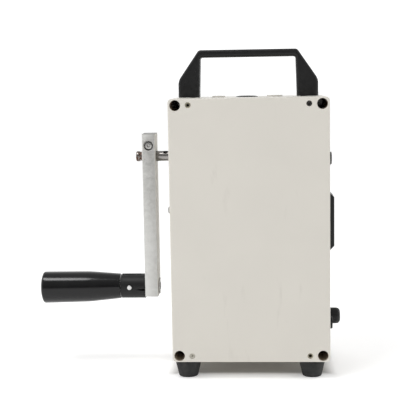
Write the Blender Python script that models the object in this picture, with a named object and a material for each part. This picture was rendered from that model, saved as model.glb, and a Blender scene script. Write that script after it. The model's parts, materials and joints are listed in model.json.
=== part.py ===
"""A hand-cranked emergency radio, built as an assembly of separate pieces.

Sizes are in millimetres in the case frame: x runs to the right as seen from behind, y runs from the
back wall (0) towards the front, and z runs up from the underside of the case, with x = 0 at its middle.
ROW_SHIFT moves the case frame so that the world origin is the bottom centre of the whole object.
"""
import math

import bmesh
import bpy
from mathutils import Matrix, Vector

MM = 0.001
GAP = 0.3                      # clearance between neighbouring pieces

# Case
CASE_W = 120.0
CASE_H = 200.0
CASE_D = 90.0
WALL = 3.0
CORNER_R = 3.0
EDGE_R = 1.2
HOLE_END = 1.0                 # how far a cutter runs past the face it opens
SHELL_D = 80.0                 # depth of the rear shell; the lid covers the rest
HALF_W = CASE_W / 2
INSIDE_W = HALF_W - WALL
INSIDE_Y = CASE_D - WALL
INSIDE_H = CASE_H - WALL
PILLAR_W = 12.0                # corner pillars that carry the lid screws
PILLAR_H = 10.0
LID_SCREW_X = 54.5
LID_SCREW_Z = 5.0
LID_SCREW_R = 1.75
LID_SCREW_END_Y = 87.0
CORE_HOLE_R = 4.0              # deep holes in the back wall over the lid screws
CORE_HOLE_D = 60.0
MOUNT_HOLE_X = 44.8            # small holes for hanging the case on a wall
MOUNT_HOLE_Z = 4.8
MOUNT_HOLE_R = 2.15
MOUNT_HOLE_D = 8.0
MOUNT_BLOCK_W = 9.0
GASKET_OUT = 1.6               # inset of the gasket groove from the outer wall
GASKET_IN = 2.9
GASKET_D = 1.8

# Feet and handle
FOOT_H = 13.2
FOOT_X = (-48.7, 46.5)
FOOT_Y = (12.0, 68.0)
FOOT_TOP_R = 10.2
FOOT_BOTTOM_R = 7.1
FOOT_STEM_R = 1.6
HANDLE_BASE_Z = CASE_H + GAP
HANDLE_X = -0.75
HANDLE_HALF = 54.1
HANDLE_INNER = 37.6            # the inner faces of the legs draw together towards the top
HANDLE_INNER_TOP = 36.7
HANDLE_TOP_HALF = 38.0
HANDLE_SHOULDER_Z = 213.2
HANDLE_UNDER_Z = 230.7
HANDLE_TOP_Z = 236.5
HANDLE_SHOULDER_R = 10.0
HANDLE_TOP_R = 3.0
HANDLE_UNDER_R = 2.0
HANDLE_Y = (38.0, 52.0)
HANDLE_SCREW_DX = 43.0
HANDLE_SCREW_R = 2.5

# Crank
MID_Y = 45.0                   # depth of the crank, the handle and the side controls
SHAFT_Z = 154.7
SHAFT_R = 4.0
SHAFT_OUT_X = -89.5
SHAFT_IN_X = -27.0
ARM_X = (-84.0, -73.7)
ARM_Y = (35.0, 55.0)
ARM_Z = (43.6, 172.7)
ARM_EDGE_R = 0.5
SLIT_W = 1.6
CLAMP_Z = 163.4
CLAMP_R = 1.5
CLAMP_HEAD_R = 2.75
CLAMP_HEAD_H = 3.0
CLAMP_BORE_R = 3.7             # counterbore for the head
CLAMP_BORE_D = 4.5
CROSS_HOLE_X = -66.5
CROSS_HOLE_R = 1.7
CROSS_HOLE_TILT = math.radians(35)
GRIP_Z = 50.8                  # height of the hinge block and the fold pin
BLOCK_R = 9.75
BLOCK_OUT_X = -103.9
STUD_R = 3.0
WASHER_R = 6.4
WASHER_T = 0.6
PIN_X = -96.7
PIN_R = 1.8
PIN_LENGTH = 19.2
PULL_RATE = 3.5                # how far the grip draws out as it folds, in mm for each radian
PULL = PULL_RATE * math.pi / 2
BLADE_R = 3.1                  # half height of the spindle's flat blade, and radius of its round end
SLOT_HALF = 2.15
SLOT_END_X = PIN_X + PULL + BLADE_R + GAP
SLOT_FLOOR_Z = GRIP_Z - 5.5
SPINDLE_R = 3.8
SPINDLE_OUT_X = -160.0
GRIP_TIP = math.radians(-0.8)  # the grip's outer end hangs this far below level
GRIP_IN_X = BLOCK_OUT_X - 0.5
GRIP_OUT_X = -169.3
DISH_D = 2.1                   # hollow in the inner end of the grip, which clears the fork as it folds
DISH_R = (6.5, 9.3)            # at the bottom of the hollow and at its rim
GRIP_PROFILE = (               # (x, radius) from the neck to the outer end
    (GRIP_IN_X, 9.6),
    (GRIP_IN_X - 0.5, 9.95),
    (-111.6, 10.6),
    (-119.6, 11.32),
    (-128.0, 12.05),
    (-136.5, 12.3),
    (-150.0, 12.5),
    (-165.3, 12.65),
    (-166.3, 12.3),
    (-167.0, 11.4),
    (-168.2, 8.0),
    (-169.0, 4.0),
    (GRIP_OUT_X, 0),
)

# Gear train, seen along x
MODULE = 1.5
DRIVE_TEETH = 40
IDLER_TEETH = 36
PINION_TEETH = 14
IDLER_Z = SHAFT_Z - MODULE * (DRIVE_TEETH + PINION_TEETH) / 2
ROTOR_Z = IDLER_Z - MODULE * (IDLER_TEETH + PINION_TEETH) / 2
PLATE_Y = (18.0, 72.0)
PLATE_Z = (62.0, 189.0)
OUTER_PLATE_X = (-54.4, -52.4)
INNER_PLATE_X = (-37.6, -35.6)
PLATE_PILLAR_R = 3.0
PLATE_PILLAR_Y = (22.5, 67.5)
PLATE_PILLAR_Z = (67.0, 184.0)
DRIVE_X = (-51.5, -46.5)       # face widths of the gears
IDLER_PINION_X = (-51.7, -43.5)
IDLER_X = (-44.5, -40.5)
ROTOR_PINION_X = (-44.9, -38.4)
BUSH_R = (7.0, 10.0)           # body and flange of each bush
INNER_BUSH_R = (6.0, 8.5)
COLLAR_X = (-33.2, -28.5)
COLLAR_R = 7.5
AXLE_R = 2.0
ROTOR_R = 1.5
ROTOR_IN_X = 6.5
GENERATOR_R = 18.0
GENERATOR_IN_X = 5.0
GENERATOR_NOSE_R = 5.0

# Controls: (x, radius, height above the case, rounding, material) of each top button
TOP_BUTTONS = {
    "button_left": (-23.8, 5.2, 1.1, 0.35, "pale_plastic"),
    "button_middle": (-1.8, 8.7, 1.3, 0.6, "gloss_black"),
    "button_right": (19.8, 6.15, 1.1, 0.35, "pale_plastic"),
}
BUTTON_TRAVEL = 1.0
BUTTON_STEM_Z = 190.6
BUTTON_FLANGE = 1.4            # how far the flange inside reaches past the cap
SWITCH_BOARD_Z = (184.6, 186.2)
SIDE_BUTTON_Z = 151.4
SIDE_BUTTON_R = 5.1
SIDE_BUTTON_X = 63.7
BEZEL_Z = 102.9
BEZEL_HALF = 22.1
BEZEL_CHAMFER = 3.0
BEZEL_X = 65.1
BEZEL_Y = (32.0, 58.0)
ROCKER_Y = (36.0, 54.0)
ROCKER_HALF = 13.4             # half height of the opening round the rocker
ROCKER_TILT = math.radians(6)
ROCKER_X = 60.0
ROCKER_FACE = 3.2
KNOB_Z = 25.9
KNOB_R = 6.3
KNOB_X = 70.1
KNOB_STEM_R = 2.0
POT_BUSH_R = 3.2
POT_BUSH_X = 61.8
JACK_Y = 25.0
JACK_Z = 25.0
JACK_R = 4.8
JACK_BARREL_R = 3.0
JACK_BARREL_X = 62.5
SIDE_SCREW_Y = 20.0
SIDE_SCREW_Z = 114.8
SIDE_SCREW_R = 1.5

# Front
SPEAKER_Z = 125.0
SPEAKER_R = 33.0
GRILLE_R = 29.0
GRILLE_PITCH = 7.5
GRILLE_ROWS = 7
GRILLE_SLOT_H = 3.2
DIAL_Z = 52.0
DIAL_R = 29.0
TUNING_R = 16.0
TUNING_STEM_R = 3.0
TUNING_STEM_END_Y = 76.0
TUNING_FRONT_Y = 104.0
BAND_X = 31.0                  # left end of the slider in its rest place
BAND_W = 6.0
BAND_Z = 24.0
BAND_TRAVEL = 8.0
LENS_X = -38.0
LENS_R = 2.5

# Internals
CELL_R = 7.4
CELL_PITCH = 15.0
CELL_X = (-31.0, 19.0)
CELL_Z = 12.9
TRAY_X = (-36.0, 24.0)
TRAY_Y = (13.0, 77.0)
TRAY_TOP_Z = 17.0
TRAY_WALL = 1.5
BOARD_X = (-33.0, 48.0)
BOARD_Y = (14.0, 15.6)
BOARD_Z = (38.0, 172.0)
BOARD_PARTS = (                # x limits, z limits and height of each component on the main board
    ((-20, -6), (60, 74), 5),
    ((10, 24), (96, 118), 3),
    ((28, 44), (50, 62), 6),
    ((-26, -12), (140, 160), 4),
    ((6, 40), (140, 150), 8),
)
FERRITE_X = (-50.0, 42.0)
FERRITE_Y = 12.2
FERRITE_Z = 183.0
FERRITE_R = 4.8
COIL_X = (-12.0, 18.0)

LEFT_END_X = PIN_X + (GRIP_OUT_X - PIN_X) * math.cos(GRIP_TIP)
ROW_SHIFT = Vector((-(LEFT_END_X + KNOB_X) / 2, -TUNING_FRONT_Y / 2, FOOT_H))

MATERIALS = {
    "case_plastic": ((0.67, 0.64, 0.58), 0.45, 0.0),
    "black_plastic": ((0.02, 0.02, 0.02), 0.4, 0.0),
    "gloss_black": ((0.012, 0.012, 0.014), 0.15, 0.0),
    "pale_plastic": ((0.7, 0.68, 0.62), 0.35, 0.0),
    "rubber": ((0.03, 0.03, 0.03), 0.75, 0.0),
    "aluminium": ((0.62, 0.62, 0.6), 0.45, 1.0),
    "steel": ((0.45, 0.44, 0.42), 0.3, 1.0),
    "brass": ((0.7, 0.5, 0.2), 0.3, 1.0),
    "nylon": ((0.75, 0.73, 0.66), 0.5, 0.0),
    "board_green": ((0.02, 0.15, 0.06), 0.5, 0.0),
    "copper": ((0.7, 0.3, 0.15), 0.35, 1.0),
    "ferrite": ((0.08, 0.08, 0.085), 0.5, 0.0),
    "paper": ((0.06, 0.055, 0.05), 0.85, 0.0),
    "battery_wrap": ((0.1, 0.2, 0.4), 0.4, 0.0),
    "lens_red": ((0.6, 0.03, 0.02), 0.1, 0.0),
}


# ---------------------------------------------------------------- mesh helpers

def turn_to(axis):
    """Rotation that carries +Z onto the named axis."""
    quarter = math.pi / 2
    turns = {
        "X": Matrix.Rotation(quarter, 4, "Y"),
        "Y": Matrix.Rotation(-quarter, 4, "X"),
        "Z": Matrix.Identity(4),
    }
    return turns[axis]


def turned(profile, axis, centre=(0, 0, 0), segments=20):
    """Spin a profile of (along, radius) points about an axis. An edge that would lie on it is left out."""
    bm = bmesh.new()
    verts = [bm.verts.new((radius * MM, 0, along * MM)) for along, radius in profile]
    pairs = zip(verts, verts[1:] + verts[:1])
    edges = [bm.edges.new(pair) for pair in pairs if any(vert.co.x > 0 for vert in pair)]
    bmesh.ops.spin(bm, geom=verts + edges, axis=(0, 0, 1), cent=(0, 0, 0),
                   steps=segments, angle=2 * math.pi)
    bmesh.ops.remove_doubles(bm, verts=bm.verts, dist=0.001 * MM)
    bmesh.ops.recalc_face_normals(bm, faces=bm.faces)
    bm.transform(Matrix.Translation(Vector(centre) * MM) @ turn_to(axis))
    return bm


def rod(low, high, radius, axis, centre=(0, 0, 0), segments=20):
    return turned([(low, 0), (low, radius), (high, radius), (high, 0)], axis, centre, segments)


def sleeve(low, high, bore, radius, axis, centre=(0, 0, 0), segments=20):
    return turned([(low, bore), (low, radius), (high, radius), (high, bore)], axis, centre, segments)


def prism(outline, low, high, axis):
    """Extrude an outline along an axis. The outline is (y, z), (x, z) or (x, y) for X, Y or Z."""
    orders = {"X": (2, 0, 1), "Y": (0, 2, 1), "Z": (0, 1, 2)}
    order = orders[axis]

    def point(u, v, w):
        return Vector([(u, v, w)[i] * MM for i in order])

    bm = bmesh.new()
    face = bm.faces.new([bm.verts.new(point(u, v, low)) for u, v in outline])
    grown = bmesh.ops.extrude_face_region(bm, geom=[face])["geom"]
    moved = [item for item in grown if isinstance(item, bmesh.types.BMVert)]
    bmesh.ops.translate(bm, verts=moved, vec=point(0, 0, high - low))
    bmesh.ops.recalc_face_normals(bm, faces=bm.faces)
    return bm


def block(x, y, z):
    """Box from pairs of limits."""
    return prism([(x[0], y[0]), (x[1], y[0]), (x[1], y[1]), (x[0], y[1])], z[0], z[1], "Z")


def bevel(bm, width, segments, wanted=None):
    edges = [edge for edge in bm.edges if wanted is None or wanted(edge)]
    bmesh.ops.bevel(bm, geom=edges, offset=width * MM, offset_type="OFFSET",
                    segments=segments, profile=0.5, affect="EDGES")
    return bm


def arc(centre, radius, start, end, steps):
    """Points on an arc from start to end, in degrees."""
    angles = [math.radians(start + (end - start) * i / steps) for i in range(steps + 1)]
    return [(centre[0] + radius * math.cos(a), centre[1] + radius * math.sin(a)) for a in angles]


def rectangle(low, high):
    return [(low[0], low[1]), (high[0], low[1]), (high[0], high[1]), (low[0], high[1])]


def fillet(points, radii, steps=2):
    """Round the corners of a closed outline. The radii are one number, or one for each point."""
    if not isinstance(radii, list):
        radii = [radii] * len(points)
    rounded = []
    for i, (point, radius) in enumerate(zip(points, radii)):
        here = Vector(point)
        back = (Vector(points[i - 1]) - here).normalized()
        ahead = (Vector(points[(i + 1) % len(points)]) - here).normalized()
        if radius == 0:
            rounded.append(point)
            continue
        half = back.angle(ahead) / 2
        centre = here + (back + ahead).normalized() * radius / math.sin(half)
        start = here + back * radius / math.tan(half) - centre
        end = here + ahead * radius / math.tan(half) - centre
        sweep = math.atan2(start.x * end.y - start.y * end.x, start.dot(end))
        for step in range(steps + 1):
            rounded.append(tuple(centre + Matrix.Rotation(sweep * step / steps, 2) @ start))
    return rounded


def gear_outline(teeth, centre):
    """Straight-sided teeth inscribed in involute ones, with backlash and tip clearance."""
    pitch = MODULE * teeth / 2
    base = pitch * math.cos(math.radians(20))
    tip = pitch + 0.8 * MODULE
    root = pitch - 1.25 * MODULE
    half_pitch = math.pi / (2 * teeth) - 0.22 / pitch

    def involute(radius):
        angle = math.acos(min(1.0, base / radius))
        return math.tan(angle) - angle

    def half_angle(radius):
        return half_pitch + involute(pitch) - involute(max(radius, base))

    points = []
    for tooth in range(teeth):
        middle = 2 * math.pi * tooth / teeth
        for side, radius in ((-1, root), (-1, tip), (1, tip), (1, root)):
            angle = middle + side * half_angle(radius)
            points.append((centre[0] + radius * math.cos(angle), centre[1] + radius * math.sin(angle)))
    return points


# -------------------------------------------------------------- object helpers

def make_material(name):
    colour, roughness, metallic = MATERIALS[name]
    material = bpy.data.materials.new(name)
    material.use_nodes = True
    shader = material.node_tree.nodes["Principled BSDF"]
    shader.inputs["Base Color"].default_value = (*colour, 1)
    shader.inputs["Roughness"].default_value = roughness
    shader.inputs["Metallic"].default_value = metallic
    return material


def empty(name, pivot, parent=None):
    """An empty at a pivot in the case frame; joints turn about these."""
    holder = bpy.data.objects.new(name, None)
    bpy.context.scene.collection.objects.link(holder)
    holder["pivot"] = pivot
    if parent is None:
        holder.location = ROW_SHIFT * MM
    else:
        holder.parent = parent
        holder.location = (Vector(pivot) - Vector(parent["pivot"])) * MM
    return holder


def add(name, bm, material, holder):
    """Turn a bmesh drawn in the case frame into an object that sits on its holder's pivot."""
    bm.transform(Matrix.Translation(-Vector(holder["pivot"]) * MM))
    mesh = bpy.data.meshes.new(name)
    bm.to_mesh(mesh)
    bm.free()
    mesh.shade_smooth()
    mesh.set_sharp_from_angle(angle=math.radians(35))
    obj = bpy.data.objects.new(name, mesh)
    bpy.context.scene.collection.objects.link(obj)
    obj.parent = holder
    if material is not None:
        mesh.materials.append(material)
    return obj


def combine(obj, operation, tools):
    """Cut solids out of an object, or join them to it, with exact Booleans."""
    for number, bm in enumerate(tools):
        tool = add(f"{obj.name}_{operation.lower()}_{number}", bm, None, obj.parent)
        tool.hide_render = True
        tool.display_type = "WIRE"
        step = obj.modifiers.new(tool.name, "BOOLEAN")
        step.operation = operation
        step.object = tool


def cut(obj, *tools):
    combine(obj, "DIFFERENCE", tools)


def join(obj, *tools):
    combine(obj, "UNION", tools)


# ------------------------------------------------------------------------ case

def corners():
    """The four corners of the case as (name, sign of x, z of the nearer end, direction inwards)."""
    return (("1", -1, 0.0, 1), ("2", 1, 0.0, 1), ("3", -1, CASE_H, -1), ("4", 1, CASE_H, -1))


def cavity_outline():
    """Inside of the case with its four pillars left standing, as (x, z)."""
    step_x = HALF_W - PILLAR_W
    points = []
    for sx, sz in ((1, 1), (-1, 1), (-1, -1), (1, -1)):
        wall_z = CASE_H / 2 + sz * (CASE_H / 2 - WALL)
        step_z = CASE_H / 2 + sz * (CASE_H / 2 - PILLAR_H)
        corner = [(sx * INSIDE_W, step_z), (sx * step_x, step_z), (sx * step_x, wall_z)]
        points += corner if sx * sz > 0 else corner[::-1]
    return points


def lid_screw_points():
    return [(name, sx * LID_SCREW_X, z + inward * LID_SCREW_Z) for name, sx, z, inward in corners()]


def foot_places():
    return [(x, y) for y in FOOT_Y for x in FOOT_X]


def make_rear_shell(materials, root):
    outline = fillet(rectangle((-HALF_W, 0), (HALF_W, CASE_H)), CORNER_R, 3)
    shell = prism(outline, 0, SHELL_D, "Y")
    bevel(shell, EDGE_R, 1, lambda edge: all(abs(vert.co.y) < 1e-6 for vert in edge.verts))
    obj = add("rear_shell", shell, materials["case_plastic"], root)
    cut(obj, prism(cavity_outline(), WALL, SHELL_D + 5, "Y"))
    for name, sx, z, inward in corners():
        low_x, high_x = sorted((sx * (HALF_W - PILLAR_W + 1), sx * (HALF_W - PILLAR_W - MOUNT_BLOCK_W)))
        low_z, high_z = sorted((z + inward * 1, z + inward * (PILLAR_H - 0.5)))
        join(obj, block((low_x, high_x), (1, MOUNT_HOLE_D + 2), (low_z, high_z)))
        screw_z = z + inward * LID_SCREW_Z
        cut(obj, turned([(-1, 0), (-1, CORE_HOLE_R), (CORE_HOLE_D, CORE_HOLE_R),
                         (CORE_HOLE_D, LID_SCREW_R + GAP), (SHELL_D + 1, LID_SCREW_R + GAP),
                         (SHELL_D + 1, 0)], "Y", (sx * LID_SCREW_X, 0, screw_z), 16))
        cut(obj, rod(-1, MOUNT_HOLE_D, MOUNT_HOLE_R, "Y",
                     (sx * MOUNT_HOLE_X, 0, z + inward * MOUNT_HOLE_Z), 12))
    cut(obj, gasket_ring(GASKET_OUT, GASKET_IN, SHELL_D - GASKET_D, SHELL_D + 1))
    cut_case_openings(obj)


def cut_case_openings(obj):
    for x, radius, *_ in TOP_BUTTONS.values():
        cut(obj, rod(INSIDE_H - HOLE_END, CASE_H + HOLE_END, radius + GAP, "Z", (x, MID_Y, 0)))
    for side in (-1, 1):
        cut(obj, rod(INSIDE_H - HOLE_END, CASE_H + HOLE_END, HANDLE_SCREW_R + GAP, "Z",
                     (HANDLE_X + side * HANDLE_SCREW_DX, MID_Y, 0), 12))
    for x, y in foot_places():
        cut(obj, rod(-HOLE_END, PILLAR_H + HOLE_END, FOOT_STEM_R + GAP, "Z", (x, y, 0), 12))
    left_wall = (-HALF_W - HOLE_END, -INSIDE_W + HOLE_END)
    cut(obj, rod(*left_wall, BUSH_R[0] + GAP, "X", (0, MID_Y, SHAFT_Z)))
    cut(obj, rod(*left_wall, SIDE_SCREW_R + GAP, "X", (0, SIDE_SCREW_Y, SIDE_SCREW_Z), 12))
    right_wall = (INSIDE_W - HOLE_END, HALF_W + HOLE_END)
    cut(obj, rod(*right_wall, SIDE_BUTTON_R + GAP, "X", (0, MID_Y, SIDE_BUTTON_Z)))
    cut(obj, rod(*right_wall, POT_BUSH_R + GAP, "X", (0, MID_Y, KNOB_Z), 16))
    cut(obj, rod(*right_wall, JACK_BARREL_R + GAP, "X", (0, JACK_Y, JACK_Z), 16))
    cut(obj, block(right_wall, ROCKER_Y, (BEZEL_Z - ROCKER_HALF, BEZEL_Z + ROCKER_HALF)))


def gasket_ring(outside, inside, low_y, high_y):
    """A flat rectangular frame, given by the insets of its outer and inner edges."""
    bm = bmesh.new()
    loops = []
    for inset in (outside, inside):
        for y in (low_y, high_y):
            points = fillet(rectangle((-HALF_W + inset, inset), (HALF_W - inset, CASE_H - inset)), 1.0, 1)
            loops.append([bm.verts.new(Vector((x, y, z)) * MM) for x, z in points])
    outer_low, outer_high, inner_low, inner_high = loops
    for one, two in ((outer_low, outer_high), (outer_high, inner_high),
                     (inner_high, inner_low), (inner_low, outer_low)):
        for i in range(len(one)):
            j = (i + 1) % len(one)
            bm.faces.new((one[i], one[j], two[j], two[i]))
    bmesh.ops.recalc_face_normals(bm, faces=bm.faces)
    return bm


def make_front_lid(materials, root):
    low = SHELL_D + GAP
    outline = fillet(rectangle((-HALF_W, 0), (HALF_W, CASE_H)), CORNER_R, 3)
    lid = prism(outline, low, CASE_D, "Y")
    bevel(lid, EDGE_R, 1, lambda edge: all(abs(vert.co.y - CASE_D * MM) < 1e-6 for vert in edge.verts))
    obj = add("front_lid", lid, materials["case_plastic"], root)
    cut(obj, prism(cavity_outline(), low - HOLE_END, INSIDE_Y, "Y"))
    for _, x, z in lid_screw_points():
        cut(obj, rod(low - HOLE_END, LID_SCREW_END_Y + 0.5, LID_SCREW_R + GAP, "Y", (x, 0, z), 12))
    wall = (INSIDE_Y - HOLE_END, CASE_D + HOLE_END)
    for number in range(GRILLE_ROWS):
        offset = (number - (GRILLE_ROWS - 1) / 2) * GRILLE_PITCH
        half = math.sqrt(GRILLE_R ** 2 - offset ** 2)
        z = SPEAKER_Z + offset
        cut(obj, block((-half, half), wall, (z - GRILLE_SLOT_H / 2, z + GRILLE_SLOT_H / 2)))
    cut(obj, rod(*wall, TUNING_STEM_R + 0.8, "Y", (0, 0, DIAL_Z), 16))
    cut(obj, rod(*wall, LENS_R + GAP, "Y", (LENS_X, 0, BAND_Z), 16))
    cut(obj, block((BAND_X - 1, BAND_X + BAND_W + 1 + BAND_TRAVEL), wall, (BAND_Z - 3, BAND_Z + 3)))


def make_lid_fixings(materials, root):
    gasket = gasket_ring(GASKET_OUT + GAP, GASKET_IN - GAP, SHELL_D - GASKET_D + GAP, SHELL_D)
    add("lid_gasket", gasket, materials["rubber"], root)
    head = CORE_HOLE_D - GAP
    profile = [(head - 2.6, 0), (head - 2.6, 2.8), (head - 1.8, 3.5), (head, 3.5),
               (head, LID_SCREW_R), (LID_SCREW_END_Y - 1, LID_SCREW_R), (LID_SCREW_END_Y, 0)]
    for name, x, z in lid_screw_points():
        add("lid_screw_" + name, turned(profile, "Y", (x, 0, z), 12), materials["steel"], root)


def make_handle(materials, root):
    base = HANDLE_BASE_Z
    right = [(HANDLE_TOP_HALF, HANDLE_TOP_Z), (HANDLE_HALF, HANDLE_SHOULDER_Z), (HANDLE_HALF, base),
             (HANDLE_INNER, base), (HANDLE_INNER_TOP, HANDLE_UNDER_Z)]
    radii = [HANDLE_TOP_R, HANDLE_SHOULDER_R, 0, 0, HANDLE_UNDER_R]
    points = right + [(-x, z) for x, z in reversed(right)]
    outline = [(HANDLE_X + x, z) for x, z in fillet(points, radii + radii[::-1])]
    handle = prism(outline, *HANDLE_Y, "Y")
    bevel(handle, 1.2, 1, lambda edge: edge.verts[0].co.y == edge.verts[1].co.y
          and max(vert.co.z for vert in edge.verts) > (base + 0.1) * MM)
    obj = add("carry_handle", handle, materials["black_plastic"], root)
    for number, side in enumerate((-1, 1), 1):
        centre = (HANDLE_X + side * HANDLE_SCREW_DX, MID_Y, 0)
        cut(obj, rod(base - HOLE_END, base + 14, HANDLE_SCREW_R + GAP, "Z", centre, 12))
        profile = [(193.5, 0), (193.5, 4), (196.5, 4), (196.5, HANDLE_SCREW_R),
                   (base + 12, HANDLE_SCREW_R), (base + 12, 0)]
        add(f"handle_screw_{number}", turned(profile, "Z", centre, 12), materials["steel"], root)


def make_feet(materials, root):
    profile = [(-FOOT_H, 0), (-FOOT_H, FOOT_BOTTOM_R - 1.4), (-FOOT_H + 0.4, FOOT_BOTTOM_R - 0.4),
               (-FOOT_H + 1.4, FOOT_BOTTOM_R), (-GAP, FOOT_TOP_R), (-GAP, FOOT_STEM_R),
               (PILLAR_H - 2, FOOT_STEM_R), (PILLAR_H - 2, 0)]
    for number, (x, y) in enumerate(foot_places(), 1):
        foot = turned(profile, "Z", (x, y, 0), 16)
        add(f"foot_{number}", foot, materials["rubber"], root)


# ----------------------------------------------------------------------- crank

def make_crank(materials, crank):
    centre = (0, MID_Y, SHAFT_Z)
    groove = SHAFT_OUT_X + 3
    profile = [(SHAFT_OUT_X, 0), (SHAFT_OUT_X, SHAFT_R - 0.6), (SHAFT_OUT_X + 0.6, SHAFT_R),
               (groove, SHAFT_R), (groove, SHAFT_R - 0.6), (groove + 1.1, SHAFT_R - 0.6),
               (groove + 1.1, SHAFT_R), (SHAFT_IN_X, SHAFT_R), (SHAFT_IN_X, 0)]
    shaft = add("crank_shaft", turned(profile, "X", centre), materials["steel"], crank)
    cross_hole = rod(-SHAFT_R - HOLE_END, SHAFT_R + HOLE_END, CROSS_HOLE_R, "Z", segments=12)
    cross_hole.transform(Matrix.Translation(Vector((CROSS_HOLE_X, MID_Y, SHAFT_Z)) * MM)
                         @ Matrix.Rotation(CROSS_HOLE_TILT, 4, "X"))
    cut(shaft, cross_hole)
    collar = sleeve(*COLLAR_X, SHAFT_R + GAP, COLLAR_R, "X", centre, 16)
    add("shaft_collar", collar, materials["steel"], crank)

    arm = bevel(block(ARM_X, ARM_Y, ARM_Z), ARM_EDGE_R, 1)
    arm = add("crank_arm", arm, materials["aluminium"], crank)
    through = (ARM_X[0] - HOLE_END, ARM_X[1] + HOLE_END)
    cut(arm, rod(*through, SHAFT_R + GAP, "X", centre))
    cut(arm, block(through, (MID_Y - SLIT_W / 2, MID_Y + SLIT_W / 2), (SHAFT_Z, ARM_Z[1] + HOLE_END)))
    clamp_at = (sum(ARM_X) / 2, 0, CLAMP_Z)
    seat = ARM_Y[0] + CLAMP_BORE_D
    cut(arm, turned([(ARM_Y[0] - HOLE_END, 0), (ARM_Y[0] - HOLE_END, CLAMP_BORE_R),
                     (seat, CLAMP_BORE_R), (seat, CLAMP_R + GAP),
                     (ARM_Y[1] + HOLE_END, CLAMP_R + GAP), (ARM_Y[1] + HOLE_END, 0)], "Y", clamp_at))
    cut(arm, rod(*through, STUD_R + GAP, "X", (0, MID_Y, GRIP_Z), 16))

    under = seat - GAP
    top = under - CLAMP_HEAD_H
    end = ARM_Y[1] - 0.5
    screw = turned([(top, 0), (top, CLAMP_HEAD_R - 0.4), (top + 0.4, CLAMP_HEAD_R), (under, CLAMP_HEAD_R),
                    (under, CLAMP_R), (end, CLAMP_R), (end, 0)], "Y", clamp_at, 16)
    screw = add("clamp_screw", screw, materials["steel"], crank)
    cut(screw, rod(top - HOLE_END, top + 1.8, 1.3, "Y", clamp_at, 6))


def make_hinge_block(materials, crank, fold):
    axis_at = (0, MID_Y, GRIP_Z)
    face = ARM_X[0] - GAP
    washer = (ARM_X[1] + GAP, ARM_X[1] + GAP + WASHER_T)
    profile = [(BLOCK_OUT_X, 0), (BLOCK_OUT_X, BLOCK_R), (face, BLOCK_R), (face, STUD_R),
               (washer[1], STUD_R), (washer[1], 0)]
    fork = add("hinge_block", turned(profile, "X", axis_at, 24), materials["black_plastic"], crank)
    cut(fork, block((BLOCK_OUT_X - HOLE_END, SLOT_END_X), (MID_Y - SLOT_HALF, MID_Y + SLOT_HALF),
                    (SLOT_FLOOR_Z, GRIP_Z + BLOCK_R + HOLE_END)))
    across = (MID_Y - BLOCK_R - HOLE_END, MID_Y + BLOCK_R + HOLE_END)
    cut(fork, rod(*across, PIN_R + GAP, "Y", (PIN_X, 0, GRIP_Z), 16))

    ends = (MID_Y - PIN_LENGTH / 2, MID_Y + PIN_LENGTH / 2)
    pin = turned([(ends[0], 0), (ends[0], PIN_R - 0.4), (ends[0] + 0.4, PIN_R), (ends[1] - 0.4, PIN_R),
                  (ends[1], PIN_R - 0.4), (ends[1], 0)], "Y", (PIN_X, 0, GRIP_Z), 16)
    add("fold_pin", pin, materials["steel"], fold)
    ring = sleeve(*washer, STUD_R + GAP, WASHER_R, "X", axis_at, 16)
    add("retaining_ring", ring, materials["steel"], crank)


def tip(bm):
    """Lean something drawn level about the fold pin, as the grip leans."""
    pin = Vector((PIN_X, MID_Y, GRIP_Z)) * MM
    bm.transform(Matrix.Translation(pin) @ Matrix.Rotation(GRIP_TIP, 4, "Y") @ Matrix.Translation(-pin))
    return bm


def grip_mouth():
    """Middle of the grip's inner end."""
    reach = PIN_X - GRIP_IN_X
    return (PIN_X - reach * math.cos(GRIP_TIP), MID_Y, GRIP_Z + reach * math.sin(GRIP_TIP))


def make_grip(materials, pull, grip):
    axis_at = (0, MID_Y, GRIP_Z)
    tail = PIN_X + PULL
    rod_end = GRIP_IN_X - DISH_D - GAP
    outline = arc((tail, GRIP_Z), BLADE_R, -90, 90, 8)
    outline += [(rod_end - 2, GRIP_Z + BLADE_R), (rod_end - 2, GRIP_Z - BLADE_R)]
    blade = tip(prism(outline, MID_Y - SLOT_HALF + GAP, MID_Y + SLOT_HALF - GAP, "Y"))
    spindle = add("grip_spindle", blade, materials["steel"], pull)
    join(spindle, tip(rod(SPINDLE_OUT_X, rod_end, SPINDLE_R, "X", axis_at)))
    hole = arc((tail, GRIP_Z), PIN_R + GAP, -90, 90, 6) + arc((PIN_X, GRIP_Z), PIN_R + GAP, 90, 270, 6)
    cut(spindle, tip(prism(hole, MID_Y - SLOT_HALF - HOLE_END, MID_Y + SLOT_HALF + HOLE_END, "Y")))

    bore = SPINDLE_R + GAP
    bore_end = SPINDLE_OUT_X - 1.5
    floor = GRIP_IN_X - DISH_D
    profile = [(bore_end, 0), (bore_end, bore), (floor, bore), (floor, DISH_R[0]), (GRIP_IN_X, DISH_R[1]),
               *GRIP_PROFILE]
    add("crank_grip", tip(turned(profile, "X", axis_at, 24)), materials["gloss_black"], grip)


# ------------------------------------------------------------------ gear train

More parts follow.
